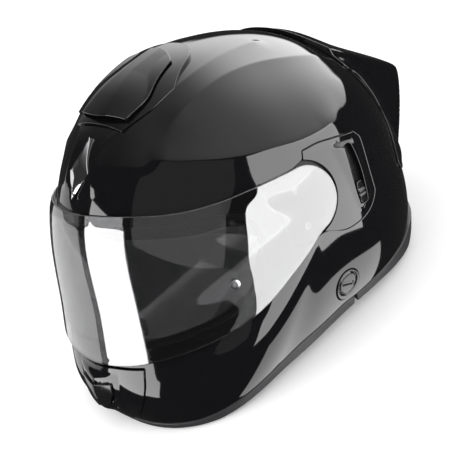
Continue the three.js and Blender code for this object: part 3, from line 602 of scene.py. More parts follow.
def woven(tree, where, scale):
    """Height of a plain weave: two sets of threads crossing at right angles."""
    threads = {"Vector": where, "Scale": scale, "Distortion": 0.6, "Detail Scale": 2.0}
    x, y, z = (added(tree, "TexWave", threads, bands_direction=axis).outputs["Fac"] for axis in "XYZ")
    either = added(tree, "Math", {0: x, 1: y}, operation="MAXIMUM").outputs[0]
    return added(tree, "Math", {0: either, 1: z}, operation="ADD").outputs[0]


gloss = material("gloss_black_lacquer", (0.0035, 0.0035, 0.004), 0.05, coat=0.35, coat_roughness=0.015,
                 mottle=(0.1, 90), speckle=(0.012, 160), bumps=(("noise", 420, 0.004),))
satin = material("moulded_black_gloss", (0.006, 0.006, 0.0065), 0.12, coat=0.3, mottle=(0.15, 300),
                 speckle=(0.03, 400), bumps=(("noise", 900, 0.006),))
rubber = material("black_rubber", (0.012, 0.012, 0.012), 0.55, mottle=(0.25, 500), speckle=(0.08, 700),
                  bumps=(("noise", 1800, 0.02),))
trim_grey = material("soft_trim_grey", (0.026, 0.026, 0.028), 0.48, mottle=(0.15, 350), speckle=(0.06, 600),
                     bumps=(("cells", 1500, 0.02), ("noise", 700, 0.02)))
steel = material("brushed_steel", (0.6, 0.6, 0.61), 0.28, metallic=1.0, mottle=(0.08, 900),
                 speckle=(0.08, 1200), bumps=(("noise", 2500, 0.004),))
chrome = material("badge_chrome", (0.85, 0.85, 0.87), 0.07, metallic=1.0, mottle=(0.03, 500),
                  speckle=(0.02, 700), bumps=(("noise", 800, 0.002),))
smoke = material("smoke_polycarbonate", (0.42, 0.42, 0.43), 0.02, ior=1.45, transmission=1.0, coat=1.0,
                 coat_roughness=0.01, coat_ior=2.1, mottle=(0.03, 60), speckle=(0.003, 40))
insert_clear = material("insert_lens", (0.7, 0.7, 0.7), 0.08, ior=1.4, transmission=0.72,
                        mottle=(0.03, 60), speckle=(0.02, 200))
sun_tint = material("sun_visor_tint", (0.05, 0.045, 0.04), 0.03, ior=1.45, transmission=1.0,
                    mottle=(0.03, 60), speckle=(0.01, 150))
foam = material("black_eps_foam", (0.012, 0.012, 0.013), 0.85, mottle=(0.3, 300),
                bumps=(("cells", 320, 0.25), ("noise", 1500, 0.03)))
lining = material("brushed_lining", (0.016, 0.016, 0.018), 0.9, sheen=0.35, mottle=(0.3, 700),
                  bumps=(("weave", 260, 0.12), ("noise", 1600, 0.1)))
webbing = material("nylon_webbing", (0.012, 0.012, 0.013), 0.7, sheen=0.2, mottle=(0.25, 900),
                   bumps=(("weave", 330, 0.25),))
ratchet_plastic = material("ratchet_plastic", (0.02, 0.02, 0.02), 0.4, mottle=(0.2, 400),
                           speckle=(0.08, 500), bumps=(("noise", 1200, 0.02),))
lever_red = material("lever_red", (0.35, 0.012, 0.012), 0.38, coat=0.2, mottle=(0.12, 400),
                     speckle=(0.08, 500), bumps=(("noise", 1200, 0.015),))


# ---------- the shell's creases ----------
class Crease:
    """A soft ridge along a line on both sides of the shell.

    reach is how far from the line it fades, soft how blunt its top is, and taper how far its ends fade.
    """
    SPACING = 2.6
    COARSE_STEP = 3

    def __init__(self, points, height, reach, soft, taper=14.0):
        self.line = spread(flowing(points, closed=False, corner_deg=70), self.SPACING, closed=False)
        self.height, self.reach, self.soft, self.taper = height, reach, soft, taper
        run = np.concatenate([[0], np.cumsum(np.linalg.norm(np.diff(self.line, axis=0), axis=1))])
        kept = sorted({*range(0, len(run), self.COARSE_STEP), len(run) - 1})
        self.knots, self.run = self.line[kept], run[kept]

    def lift(self, points):
        p = points.copy()
        p[:, 0] = np.abs(p[:, 0])
        best = np.full(len(p), 1e9)
        along = np.zeros(len(p))
        for a, b, s, e in zip(self.knots[:-1], self.knots[1:], self.run[:-1], self.run[1:]):
            ab = b - a
            t = np.clip((p - a) @ ab / (ab @ ab), 0, 1)
            gap = np.linalg.norm(p - a - t[:, None] * ab, axis=1)
            nearer = gap < best
            best = np.where(nearer, gap, best)
            along = np.where(nearer, s + t * (e - s), along)
        fade = smoothstep(np.minimum(along, self.run[-1] - along), 0, self.taper)
        size = np.sqrt(best ** 2 + self.soft ** 2) - self.soft
        return self.height * fade * np.exp(-size / self.reach)


creases = [
    Crease([(20, -106, 174), (18, -100, 182), (18, -89, 193), (18, -79, 200), (22, -70, 204), (29, -63, 207),
            (34, -57, 209), (42, -37, 215), (49, -19, 218), (51, 5, 220), (48, 39, 217), (46, 72, 206)],
           1.5, 7.0, 0.35),
    Crease([(61, -57, 195), (63, -39, 203), (67, -13, 210), (68, 6, 211), (70, 34, 206), (73, 63, 194),
            (72, 85, 182), (65, 107, 167)], 2.3, 12.0, 0.7, taper=30),
    Crease([(54, -69, 191), (73, -58, 183), (86, -47, 178), (95, -36, 173), (104, -22, 168), (110, -7, 164),
            (114, 19, 155), (113, 42, 150), (107, 68, 142)], 1.9, 10.0, 0.5, taper=18),
    Crease([(82, 95, 163), (95, 84, 154), (102, 76, 149), (107, 60, 151), (113, 36, 153)], 0.9, 7.0, 1.0),
    Crease([(80, -126, 62), (97, -103, 65), (107, -85, 67), (113, -69, 68)], 1.0, 8.0, 0.9),
    Crease([(66, -142, 48), (66, -141, 38), (60, -146, 24), (64, -141, 12)], 0.9, 5.0, 0.8, taper=8),
]


def shell_top(d):
    p = surface(d)
    return sum(crease.lift(p) for crease in creases)


crease_lines = [(crease.line * [sign, 1, 1], max(1.0, crease.soft * 1.3))
                for crease in creases for sign in (1, -1)]

# ---------- outlines ----------
visor_side = (
    [(-200, 174), (-118, 168), (-107, 164.5), (-93, 159.5), (-78, 154.5), (-54, 150), (-30, 148)]
    + arc(VISOR_END, VISOR_END_RADIUS, 90, -90, 10)
    + [(-19, 88.5), (-40, 81), (-63, 73), (-87, 68), (-120, 64), (-141, 61), (-155, 58), (-160, 56),
       (-163, 46), (-200, 46)]
)
eyeport_side = [
    (-200, 160), (-117, 158), (-97, 151), (-76, 144), (-56, 140), (-45, 134), (-42, 124), (-45, 108),
    (-54, 92), (-66, 81), (-82, 75), (-110, 71), (-150, 68), (-200, 66),
]
plate_back = [
    (19, 79.5), (52, 82), (57, 86), (61, 108), (66, 126), (62, 133), (39, 142), (28, 146), (13, 149)]
plate_side = arc(VISOR_END, VISOR_END_RADIUS + 3, 60, -84, 8) + plate_back
pocket_side = [
    (-27.5, 143.5), (-4.5, 143), (9.5, 144.7), (12.8, 149.5), (28, 146.6), (39, 142.6), (62.4, 133.4),
    (66.6, 126), (61.6, 108), (57.5, 85.8), (52.2, 81.5), (19, 79), (-1.5, 90.6), (-19, 91.4), (-27.5, 94.5)]
bottom_edge = [(-220, 0), (-128, 0), (-100, 3.5), (-70, 6), (-20, 8), (40, 7), (75, 3), (100, 0), (220, 0)]
trim_top = [(-220, 5), (-140, 7), (-119, 10.5), (-87, 16), (-49, 19), (-2, 19), (TRIM_SPLIT_Y, 17),
            (52, 18), (76, 20), (92, 24), (220, 24)]
cowl_plan = mirror_pairs([(31, -64), (45, -38), (49, -20), (43, -9), (29, 16), (22, 21)])
scoop_plan = mirror_pairs([(0.01, -60), (32, -56), (37, -35), (33, -21), (28, -1), (18, 5)])
chin_front = mirror_pairs([(24, 8), (43, 22), (52, 40), (53, 54)])
spoiler_side = [
    (100.5, 230), (103, 184), (111, 163), (113, 156), (123, 145), (129, 122), (127, 107), (121, 97),
    (113, 88), (104, 76), (108, 68), (130, 64), (220, 64)]


SLOT_LENGTH = np.linalg.norm(SLOT_TOP - SLOT_BOTTOM)
SLOT_UP = unit(SLOT_TOP - SLOT_BOTTOM)
SLOT_ASIDE = np.array([-SLOT_UP[1], SLOT_UP[0]])
SLOT_CORNER_RADIUS = 1.4


def side_loop(outline, sign=1, spacing=1.6):
    """Surface loop from an outline in the side view."""
    return direction(spread(surface(on_side(flowing(outline), sign)), spacing))


def plan_loop(outline, place, spacing=1.6):
    """Surface loop from an outline in the front or top view, which place puts on the surface."""
    return direction(spread(surface(place(flowing(outline))), spacing))


def slot_bar(width, start, end):
    """Rounded bar along the sun visor slider's slot, between two distances from its bottom end."""
    aside = SLOT_ASIDE * width / 2
    low, high = SLOT_BOTTOM + SLOT_UP * start, SLOT_BOTTOM + SLOT_UP * end
    return rounded(np.array([low - aside, high - aside, high + aside, low + aside]), SLOT_CORNER_RADIUS)


def rounded(corners, radius):
    """A closed polygon with its corners rounded."""
    made = []
    for before, at, after in zip(np.roll(corners, 1, axis=0), corners, np.roll(corners, -1, axis=0)):
        a, b = unit(before - at), unit(after - at)
        for t in np.linspace(0, 1, 5):
            made.append(at + radius * ((1 - t) ** 2 * a + t ** 2 * b))
    return np.array(made)


def cap_loop(radius, spacing):
    """Circle round the blanking cap's centre."""
    return side_loop(arc(CAP_CENTRE, radius, 0, 350, 35), spacing=spacing)


def inset_across(outline, distance):
    """The loop that an open side-view outline cuts, moved sideways by a distance."""
    curve = flowing(outline, closed=False)
    tangent = unit(np.gradient(curve, axis=0))
    return across(curve + np.stack([tangent[:, 1], -tangent[:, 0]], axis=1) * distance)


# ---------- shell ----------
eyeport = inset_across(eyeport_side, 0)
glossy = dict(material=gloss, slot="gloss_shell")
plastic = dict(material=satin, slot="black_plastic")
rubbery = dict(material=rubber, slot="rubber")
lens = dict(body="visor", slot="smoke_lens")
POCKET_OVERLAP = 0.8
skin("shell", [rim(trim_top, FIT_GAP), eyeport, side_loop(pocket_side, 1), side_loop(pocket_side, -1),
               plan_loop(grow(chin_front, FIT_GAP), on_front), cap_loop(CAP_RADIUS + FIT_GAP, 1.2)],
     -SHELL_WALL, shell_top, edge=0.8, spacing=3.0, lines=crease_lines, whole=True,
     replaces=["outer_shell"], **glossy)
for side, sign in SIDES:
    skin(f"shell_pocket_{side}", [side_loop(grow(pocket_side, POCKET_OVERLAP), sign)],
         -SHELL_WALL + 0.02, -POCKET_DEPTH, edge=0.2, spacing=5, material=rubber, slot="gloss_shell")


# ---------- visor ----------
CALM_REACH = 0.17       # radians
CALM_TURNS = 8
VISOR_FRONT_EASE = 0.3
VISOR_LIP = 2.2
VISOR_SHADOW_GAP = 1.1
BROW_WIDTH = 9.0
BROW_LEAN = 1.15
BROW_BLUNTNESS = 0.002


def calmed(d):
    """How far a surface averaged over each direction's neighbourhood stands from the surface."""
    along, beside = tangents(d)
    total = np.zeros(len(d))
    for reach in (CALM_REACH / 2, CALM_REACH):
        for turn in np.arange(CALM_TURNS) * 2 * math.pi / CALM_TURNS:
            total += surface_radius(unit(d + reach * (math.cos(turn) * along + math.sin(turn) * beside)))
    return total / (2 * CALM_TURNS) - surface_radius(d)


def visor_gap(d):
    """The visor's inner face: calmer than the shell at the front, with a lip along its lower edge."""
    p = surface(d)
    ahead = smoothstep(-d[:, 1], 0.3, 0.85)
    lip = smoothstep(p[:, 2], 61, 50) * smoothstep(p[:, 1], -142, -156)
    calm = calmed(d) * smoothstep(-d[:, 1], 0.2, 0.55)
    return VISOR_GAP + (VISOR_FRONT_LIFT + VISOR_FRONT_EASE) * ahead + calm + VISOR_LIP * lip


visor_loop = inset_across(visor_side, VISOR_SHADOW_GAP)
visor_brow = np.array(visor_side[:7], float)


def visor_top(d):
    """A flat brow along the visor's top edge, which leans back from the rest."""
    p = surface(d)
    below = np.interp(p[:, 1], visor_brow[:, 0], visor_brow[:, 1]) - p[:, 2]
    depth = (BROW_WIDTH - below) / BROW_WIDTH
    lean = 0.5 * (depth + np.sqrt(depth ** 2 + BROW_BLUNTNESS)) * smoothstep(p[:, 1], -45, -70)
    return visor_gap(d) + VISOR_WALL - BROW_LEAN * lean


brow_curve = [(y, z - BROW_WIDTH) for y, z in visor_brow]
brow_line = surface(across(flowing(brow_curve + [(0, 138), (220, 100)], closed=False)))
brow_line = brow_line[brow_line[:, 1] < -50]
brow_line = brow_line[np.argsort(brow_line[:, 0])]
skin("visor_shield", [visor_loop], visor_gap, visor_top, edge=0.7, spacing=2.6, lines=[(brow_line, 1.5)],
     material=smoke, replaces=["visor"], **lens)
skin("pinlock_insert", [inset_across(eyeport_side, PINLOCK_MARGIN)],
     lambda d: visor_gap(d) - FIT_GAP - PINLOCK_WALL, lambda d: visor_gap(d) - FIT_GAP, edge=0.5, spacing=6,
     material=insert_clear, replaces=["pinlock_lens"], **lens)
skin("eyeport_seal", [inset_across(eyeport_side, FIT_GAP), inset_across(eyeport_side, GASKET_WIDTH)],
     -SHELL_WALL, 0.8, edge=0.9, spacing=2.5, replaces=["eyeport_gasket"], **rubbery)


# ---------- side plates ----------
plate_rear = spread(flowing(plate_back[::-1], closed=False), 1.5, closed=False)
PLATE_DEPTH = 1.8
PLATE_HEIGHT = 0.3
PLATE_REAR_RISE = 1.5


def plate_top(d):
    """The plate's rear half stands a little prouder, with a broad bevel along its rear edge."""
    p = surface(d)
    bevel = smoothstep(nearest(p[:, 1:], plate_rear), 2.0, 7.5)
    return PLATE_HEIGHT + PLATE_REAR_RISE * smoothstep(p[:, 1], 34, 44) * bevel


bevel_line = flowing(
    [(36, 135.5), (56.5, 127.5), (59, 124.5), (54.5, 107), (50.5, 88.5), (40, 87)], closed=False)
for side, sign in SIDES:
    loops = [side_loop(plate_side, sign)]
    if sign > 0:
        loops.append(side_loop(slot_bar(SLOT_WIDTH, 0, SLOT_LENGTH), spacing=1.0))
    line = spread(surface(on_side(bevel_line, sign)), 2, closed=False)
    skin(f"side_cover_{side}", loops, -PLATE_DEPTH, plate_top, edge=0.5, spacing=2.6, lines=[(line, 1.6)],
         replaces=[f"side_plate_{side}"], **glossy)
TRACK_MARGIN = 0.5
TRACK_FACES = (-2.25, -1.75)
KNOB_BOTTOM = -0.3
KNOB_HEIGHT = 1.3
KNOB_RIB_HEIGHT = 0.9
KNOB_RIBS = (5.2, 8.6)      # distances from the knob's lower end
track_bar = slot_bar(SLOT_WIDTH + 2 * TRACK_MARGIN, -TRACK_MARGIN, SLOT_LENGTH + TRACK_MARGIN)
skin("slider_track", [side_loop(track_bar, spacing=1.5)], *TRACK_FACES,
     edge=0.2, spacing=3, **plastic)


def knob_top(d):
    """Two grip ribs across the knob's lower half."""
    along = (surface(d)[:, 1:] - SLOT_BOTTOM) @ SLOT_UP - FIT_GAP
    return KNOB_HEIGHT + sum(KNOB_RIB_HEIGHT * np.exp(-((along - at) / 1.1) ** 2) for at in KNOB_RIBS)


knob_bar = slot_bar(SLOT_WIDTH - 2 * FIT_GAP, FIT_GAP, FIT_GAP + KNOB_LENGTH)
skin("slider_grip", [side_loop(knob_bar, spacing=0.8)], KNOB_BOTTOM, knob_top, edge=0.6, spacing=0.9,
     body="sun_visor_slider", replaces=["slider_knob"], **plastic)

# ---------- intercom cap ----------
CAP_HEIGHT = 0.9
CAP_GROOVE_INSET = 2.7
CAP_BAR_UP = (0.5, 0.87)


def cap_top(d):
    """A groove inside the cap's edge, a raised face and a slanting coin slot."""
    p = surface(d)[:, 1:] - CAP_CENTRE
    gap = np.linalg.norm(p, axis=1)
    groove = np.exp(-((gap - (CAP_RADIUS - CAP_GROOVE_INSET)) / 0.65) ** 2)
    face = smoothstep(gap, CAP_RADIUS - 3.2, CAP_RADIUS - 6.2)
    slot = smoothstep(np.abs(p @ CAP_BAR_UP), 1.5, 0.9) * smoothstep(gap, 6.6, 5.8)
    return CAP_HEIGHT - 1.0 * groove + 0.15 * face - 0.5 * slot


skin("intercom_cover", [cap_loop(CAP_RADIUS, 1.0)], -SHELL_WALL, cap_top, edge=0.6, spacing=0.9,
     replaces=["intercom_cap"], **plastic)

# ---------- forehead badge ----------
kite_half = [(0.01, 174), (12.5, 189), (7, 195), (0.01, 205)]
KITE_TIP = 0.6
KITE_EDGE_HEIGHT = 1.2
KITE_RIDGE_HEIGHT = 1.9


def kite_top(d):
    """Two facets that meet in an upright ridge."""
    p = surface(d)
    width = np.interp(p[:, 2], [z for _, z in kite_half], [max(x, KITE_TIP) for x, _ in kite_half])
    return KITE_EDGE_HEIGHT + KITE_RIDGE_HEIGHT * (1 - np.clip(np.abs(p[:, 0]) / width, 0, 1))


skin("badge_kite", [plan_loop(mirror_pairs(kite_half), on_front, 1.0)], 0.4, kite_top,
     edge=0.3, spacing=1.1, material=chrome, replaces=["forehead_badge"], slot="badge_chrome")

# ---------- top vent ----------
COWL_HEIGHT = 3.2
SCOOP_CREST = [(15, -59), (5, -20)]
SCOOP_HEIGHT = 7.2
SCOOP_FRONT_RISE = 2.6
SCOOP_SLOPE = 0.16
SCOOP_LOWEST = 5.4
SCOOP_FOOT = 4.4
SCOOP_ROOF = 1.4


def cowl_top(d):
    """Level in the middle and lower towards its sides."""
    return COWL_HEIGHT - 0.8 * smoothstep(np.abs(surface(d)[:, 0]), 30, 46)


skin("vent_cowl", [plan_loop(cowl_plan, on_top)], 0.4, cowl_top, edge=0.7, spacing=2.6,
     replaces=["top_vent_base"], **glossy)


def scoop_top(d):
    """A flat top between two crests that run together to the rear, and sides that slope down from them."""
    p = surface(d)
    crest = np.interp(p[:, 1], [-60, -20], [15, 5])
    beyond = np.sqrt((np.maximum(np.abs(p[:, 0]) - crest, 0)) ** 2 + 0.25) - 0.5
    front = SCOOP_FRONT_RISE * smoothstep(-d[:, 1], 0.05, 0.4)
    return np.maximum(SCOOP_HEIGHT + front - SCOOP_SLOPE * beyond, SCOOP_LOWEST)


def scoop_bottom(d):
    """Close to the cowl, but raised under the front for the air's mouth."""
    p = surface(d)
    mouth = smoothstep(np.abs(p[:, 0]), 30, 27) * smoothstep(p[:, 1], -33, -37)
    return SCOOP_FOOT + (scoop_top(d) - SCOOP_ROOF - SCOOP_FOOT) * mouth


crest_lines = []
for sign in (1, -1):
    crest = spread(np.array(SCOOP_CREST, float) * [sign, 1], 2, closed=False)
    crest_lines.append((spread(surface(on_top(crest)), 2, closed=False), 1.2))
skin("vent_scoop", [plan_loop(scoop_plan, on_top, 1.4)], scoop_bottom, scoop_top, edge=0.6, spacing=2.2,
     lines=crest_lines, body="top_vent_slider", replaces=["top_vent_cover"], **glossy)


# ---------- rear spoiler ----------
TAIL_TOP = (100.0, 199.0)
TAIL_EDGE = (181.0, 126.0)
TAIL_CROWN = 11.0       # how much lower the tail's top is at its half width than in the middle
TAIL_HALF_WIDTH = 66.0
TAIL_SHARPNESS = 90
TAIL_BLEND = 2.0
TAIL_UNDER = [(181, 126), (182, 120), (180.5, 112), (174, 98), (164, 84), (150, 66)]
TAIL_PLAN = [(64, 96), (60, 140), (57, 160), (51, 181)]


def tail_reach(d):
    """How far along each direction the tail's body goes from CENTRE, with rounded edges."""
    parts = []

    def add(normal, point):
        normal = unit(np.array(normal, float))
        height = (np.array(point, float) - CENTRE) @ normal
        parts.append(np.maximum(d @ normal, 1e-3) / height)

    run = unit(np.array([0, TAIL_EDGE[0] - TAIL_TOP[0], TAIL_EDGE[1] - TAIL_TOP[1]]))
    top = np.array([0, -run[2], run[1]])
    height = (np.array([0, *TAIL_TOP]) - CENTRE) @ top
    slope = np.maximum(d @ top, 1e-3)
    reach = height / slope
    for _ in range(4):
        reach = (height - TAIL_CROWN * (reach * d[:, 0] / TAIL_HALF_WIDTH) ** 2) / slope
    parts.append(1 / np.maximum(reach, 1))
    for (y0, z0), (y1, z1) in zip(TAIL_UNDER[:-1], TAIL_UNDER[1:]):
        add((0, z0 - z1, y1 - y0), (0, y0, z0))
    for (x0, y0), (x1, y1) in zip(TAIL_PLAN[:-1], TAIL_PLAN[1:]):
        for sign in (1, -1):
            add((sign * (y1 - y0), x0 - x1, 0), (sign * x0, y0, 0))
    return np.sum(np.array(parts) ** TAIL_SHARPNESS, axis=0) ** (-1 / TAIL_SHARPNESS)


spoiler_loop = across(flowing(spoiler_side, closed=False, corner_deg=60), 1.6)
spoiler_border = surface(spoiler_loop)


def spoiler_top(d):
    """Thin at the border, thicker inside, and blended into the tail."""
    plate = 1.5 + 2.5 * smoothstep(nearest(surface(d), spoiler_border), 0.5, 14)
    past = tail_reach(d) - surface_radius(d) - plate
    return plate + TAIL_BLEND * np.logaddexp(0, past / TAIL_BLEND)


skin("spoiler", [spoiler_loop], 0.4, spoiler_top, edge=0.6, spacing=1.9,
     replaces=["rear_spoiler"], **glossy)


# ---------- chin vent ----------
BEAK_HALF_WIDTH = 26.0
BEAK_HEIGHT = 6.4
BEAK_BROW_Z = 47.0
BEAK_FOOT_Z = 23.0
CHIN_HEIGHT = 1.0
CHIN_SLOTS = (22.0, 31.0, 40.0)
CHIN_SLOT_DEPTH = 1.8
SHUTTER_FACES = (0.5, 2.0)      # above the beak


def beak(p):
    """The beak's height: two flat facets that fall away from the middle."""
    blunt = np.sqrt(np.abs(p[:, 0]) ** 2 + 1) - 1
    return BEAK_HEIGHT * np.clip(1 - blunt / BEAK_HALF_WIDTH, 0, 1)


def chin_top(d):
    """The beak with a ledge under the visor, an undercut foot and three slots on each side."""
    p = surface(d)
    aside = np.abs(p[:, 0])
    ledge = smoothstep(p[:, 2], BEAK_BROW_Z + 4, BEAK_BROW_Z)
    foot = smoothstep(p[:, 2], 8, BEAK_FOOT_Z)
    slots = sum(smoothstep(np.abs(p[:, 2] - z), 3.2, 1.2) for z in CHIN_SLOTS)
    slots = slots * smoothstep(aside, 21, 16) * smoothstep(aside, 3, 7)
    return CHIN_HEIGHT + beak(p) * (0.25 + 0.75 * ledge) * foot - CHIN_SLOT_DEPTH * slots


upright = [[(x, z) for z in np.arange(12, 53, 2.0)] for x in (0.0, BEAK_HALF_WIDTH, -BEAK_HALF_WIDTH)]
level = [[(x, z) for x in np.arange(-24, 25, 2.0)] for z in (BEAK_BROW_Z + 2, BEAK_FOOT_Z)]
chin_lines = [(surface(on_front(np.array(line))), 1.2) for line in upright + level]
skin("chin_vent", [plan_loop(chin_front, on_front, 1.4)], -SHELL_WALL, chin_top, edge=0.6, spacing=1.5,
     lines=chin_lines, replaces=["chin_vent_housing"], **glossy)
chin_cover = mirror_pairs([(12, 26), (20, 36), (20, 44)])
skin("chin_shutter", [plan_loop(chin_cover, on_front, 1.2)],
     *(lambda d, above=above: CHIN_HEIGHT + beak(surface(d)) + above for above in SHUTTER_FACES),
     edge=0.5, spacing=1.8, material=satin,
     body="chin_vent_slider", replaces=["chin_vent_cover"], slot="gloss_shell")


# ---------- bottom trims ----------
TRIM_LOWER_RISE = 1.3
TRIM_JOINT = 0.4
TRIM_HEIGHT = 0.6
TRIM_REAR_RISE = 2.0


def trim_loop(front):
    """The outline of the front or rear trim, which meet at a small joint on each side."""
    split = TRIM_SPLIT_Y + TRIM_JOINT / 2 * (-1 if front else 1)
    ends = []
    for loop in (rim(trim_top), rim(bottom_edge, TRIM_LOWER_RISE)):
        points = surface(loop)
        wanted = points[:, 1] < split if front else points[:, 1] > split
        start = np.flatnonzero(wanted & ~np.roll(wanted, 1))[0]
        ends.append(np.roll(points, -start, axis=0)[:wanted.sum()])
    return direction(spread(np.vstack([ends[0], ends[1][::-1]]), 2.0))


def trim_lift(d):
    return TRIM_HEIGHT + TRIM_REAR_RISE * smoothstep(d[:, 1], 0.35, 0.75)


for name, front in (("front", True), ("rear", False)):
    skin(f"rim_trim_{name}", [trim_loop(front)], -TRIM_WALL, trim_lift, edge=1.0, spacing=3.0, whole=True,
         material=trim_grey, replaces=[f"bottom_trim_{name}"], slot="trim")

# ---------- foam ----------
liner_side = [(-200, 170), (-110, 164), (-70, 152), (-36, 140), (-26, 118), (14, 104), (28, 96), (34, 66),
              (60, 60), (220, 60)]
SUN_PIVOT = np.array([-20.0, 98.0])
SUN_RADIUS = 111.0
SUN_HALF_WIDTH = 101.0
SUN_WALL = 2.0
SUN_MIDDLE_DEG = 56.0
SUN_HALF_SPREAD_DEG = 18.0
SUN_BACKSET = 13.0
SUN_CLEARANCE = 3.5
SUN_SWEEP_DEG = (84, 80)        # past this the lens never goes
LINER_THINNEST = 3.0
SLIDER_ROOM = 12.0


def liner_top(d):
    """The foam's outer face, hollowed where the sun visor swings and where its slider runs."""
    inside = np.array([SUN_HALF_WIDTH, SUN_RADIUS, SUN_RADIUS]) - SUN_WALL - SUN_CLEARANCE
    origin, ray = (CENTRE - [0, *SUN_PIVOT]) / inside, d / inside
    a, b, c = (ray * ray).sum(1), (origin * ray).sum(1), (origin * origin).sum() - 1
    reach = (-b + np.sqrt(np.maximum(b * b - a * c, 0))) / a - surface_radius(d)
    p = surface(d, LINER_OUTER)
    rise = np.degrees(np.arctan2(p[:, 2] - SUN_PIVOT[1], SUN_PIVOT[0] - p[:, 1] + 24))
    lift = LINER_OUTER + np.minimum(reach - LINER_OUTER, 0) * smoothstep(rise, *SUN_SWEEP_DEG)
    off = p[:, 1:] - SLOT_BOTTOM
    beside, run = np.abs(off @ SLOT_ASIDE), off @ SLOT_UP
    slot = (smoothstep(beside, 14, 10) * smoothstep(run, -12, -7)
            * smoothstep(run, SLOT_LENGTH + 14, SLOT_LENGTH + 8))
    return np.maximum(lift - SLIDER_ROOM * slot * (d[:, 0] > 0), LINER_INNER + LINER_THINNEST)


CHIN_LINER_DEPTH = 15
chin_liner_side = [(-200, 16), (-97, 20), (-97, 62), (-200, 60)]
skin("eps_liner", [across(flowing(liner_side, closed=False), 3.0)], LINER_INNER, liner_top,
     edge=1.0, spacing=4.5, whole=True, material=foam, replaces=["impact_liner"], slot="foam")
skin("eps_chin_liner", [across(flowing(chin_liner_side, closed=False), 3.0)],
     LINER_OUTER - CHIN_LINER_DEPTH, LINER_OUTER - 1.5, edge=1.0, spacing=5,
     material=foam, replaces=["chin_liner"], slot="foam")
guard_front = mirror_pairs([(51, 66), (49, 78), (30, 84.5)])


GUARD_FACES = (-17.0, -15.6)
GUARD_RIBS = (70, 74, 78)


def guard_top(d):
    """Three shallow ribs across the breath guard."""
    z = surface(d)[:, 2]
    return GUARD_FACES[1] + 0.9 * sum(np.exp(-((z - rib) / 0.9) ** 2) for rib in GUARD_RIBS)


skin("breath_deflector", [plan_loop(guard_front, on_front)], GUARD_FACES[0], guard_top, edge=0.5, spacing=2.2,
     replaces=["breath_guard"], **rubbery)


# ---------- sun visor ----------
def grid_shell(rows_out, rows_in):
    """Vertices and faces of a closed slab between two matching grids of points."""
    m, n = rows_out.shape[:2]
    vertices = np.vstack([rows_out.reshape(-1, 3), rows_in.reshape(-1, 3)])
    at = np.arange(m * n).reshape(m, n)
    other = at + m * n
    faces = []
    for i in range(m - 1):
        for j in range(n - 1):
            faces.append((at[i, j], at[i + 1, j], at[i + 1, j + 1], at[i, j + 1]))
            faces.append((other[i, j], other[i, j + 1], other[i + 1, j + 1], other[i + 1, j]))
    loop = ([(i, 0) for i in range(m)] + [(m - 1, j) for j in range(1, n)]
            + [(i, n - 1) for i in range(m - 2, -1, -1)] + [(0, j) for j in range(n - 2, 0, -1)])
    for (a, b), (c, d) in zip(loop, loop[1:] + loop[:1]):
        faces.append((at[a, b], other[a, b], other[c, d], at[c, d]))
    return vertices, [tuple(int(v) for v in f) for f in faces]


LENS_ROWS = 61
LENS_COLUMNS = 27
LENS_END_DEG = 81


def sun_lens():
    """The lens between two planes that meet behind its pivot, out of an ellipsoid about the pivot."""
    middle = math.radians(SUN_MIDDLE_DEG)
    apex = SUN_PIVOT + SUN_BACKSET * np.array([math.cos(middle), -math.sin(middle)])
    half_spread = SUN_HALF_SPREAD_DEG - 0.3
    sides = np.radians([SUN_MIDDLE_DEG - half_spread, SUN_MIDDLE_DEG + half_spread])
    out, inside = [], []
    for t in np.radians(np.linspace(-LENS_END_DEG, LENS_END_DEG, LENS_ROWS)):
        radius = SUN_RADIUS * math.cos(t)
        ends = []
        for a in sides:
            ray = np.array([-math.cos(a), math.sin(a)])
            o = apex - SUN_PIVOT
            s = -(o @ ray) + math.sqrt((o @ ray) ** 2 - o @ o + radius ** 2)
            hit = o + s * ray
            ends.append(math.atan2(hit[1], -hit[0]))
        for rows, inset in ((out, 0.0), (inside, SUN_WALL)):
            x = (SUN_HALF_WIDTH - inset) * math.sin(t)
            r = (SUN_RADIUS - inset) * math.cos(t)
            angles = np.linspace(*ends, LENS_COLUMNS)
            rows.append([(x, SUN_PIVOT[0] - r * math.cos(a), SUN_PIVOT[1] + r * math.sin(a)) for a in angles])
    return grid_shell(np.array(out), np.array(inside))


vertices, faces = sun_lens()
sun_piece = piece("sun_lens", vertices, faces, material=sun_tint, body="sun_visor", replaces=["sun_visor"],
                  slot="sun_lens")
soften = sun_piece.modifiers.new("edge", "BEVEL")
soften.width = 0.5 * MM
soften.segments = 2
soften.limit_method = "ANGLE"


# ---------- screws and pins ----------
SCREW_STEPS = 36
HINGE_SCREWS = {"upper": (-8, 130), "lower": (-12, 103)}
SPOILER_SCREW = (123, 80)
INSERT_PIN = (-74, 97)
PIN_PROUD = 0.35


def side_point(y, z, sign, lift):
    return surface(on_side(np.array([(y, z)]), sign), lift)[0]


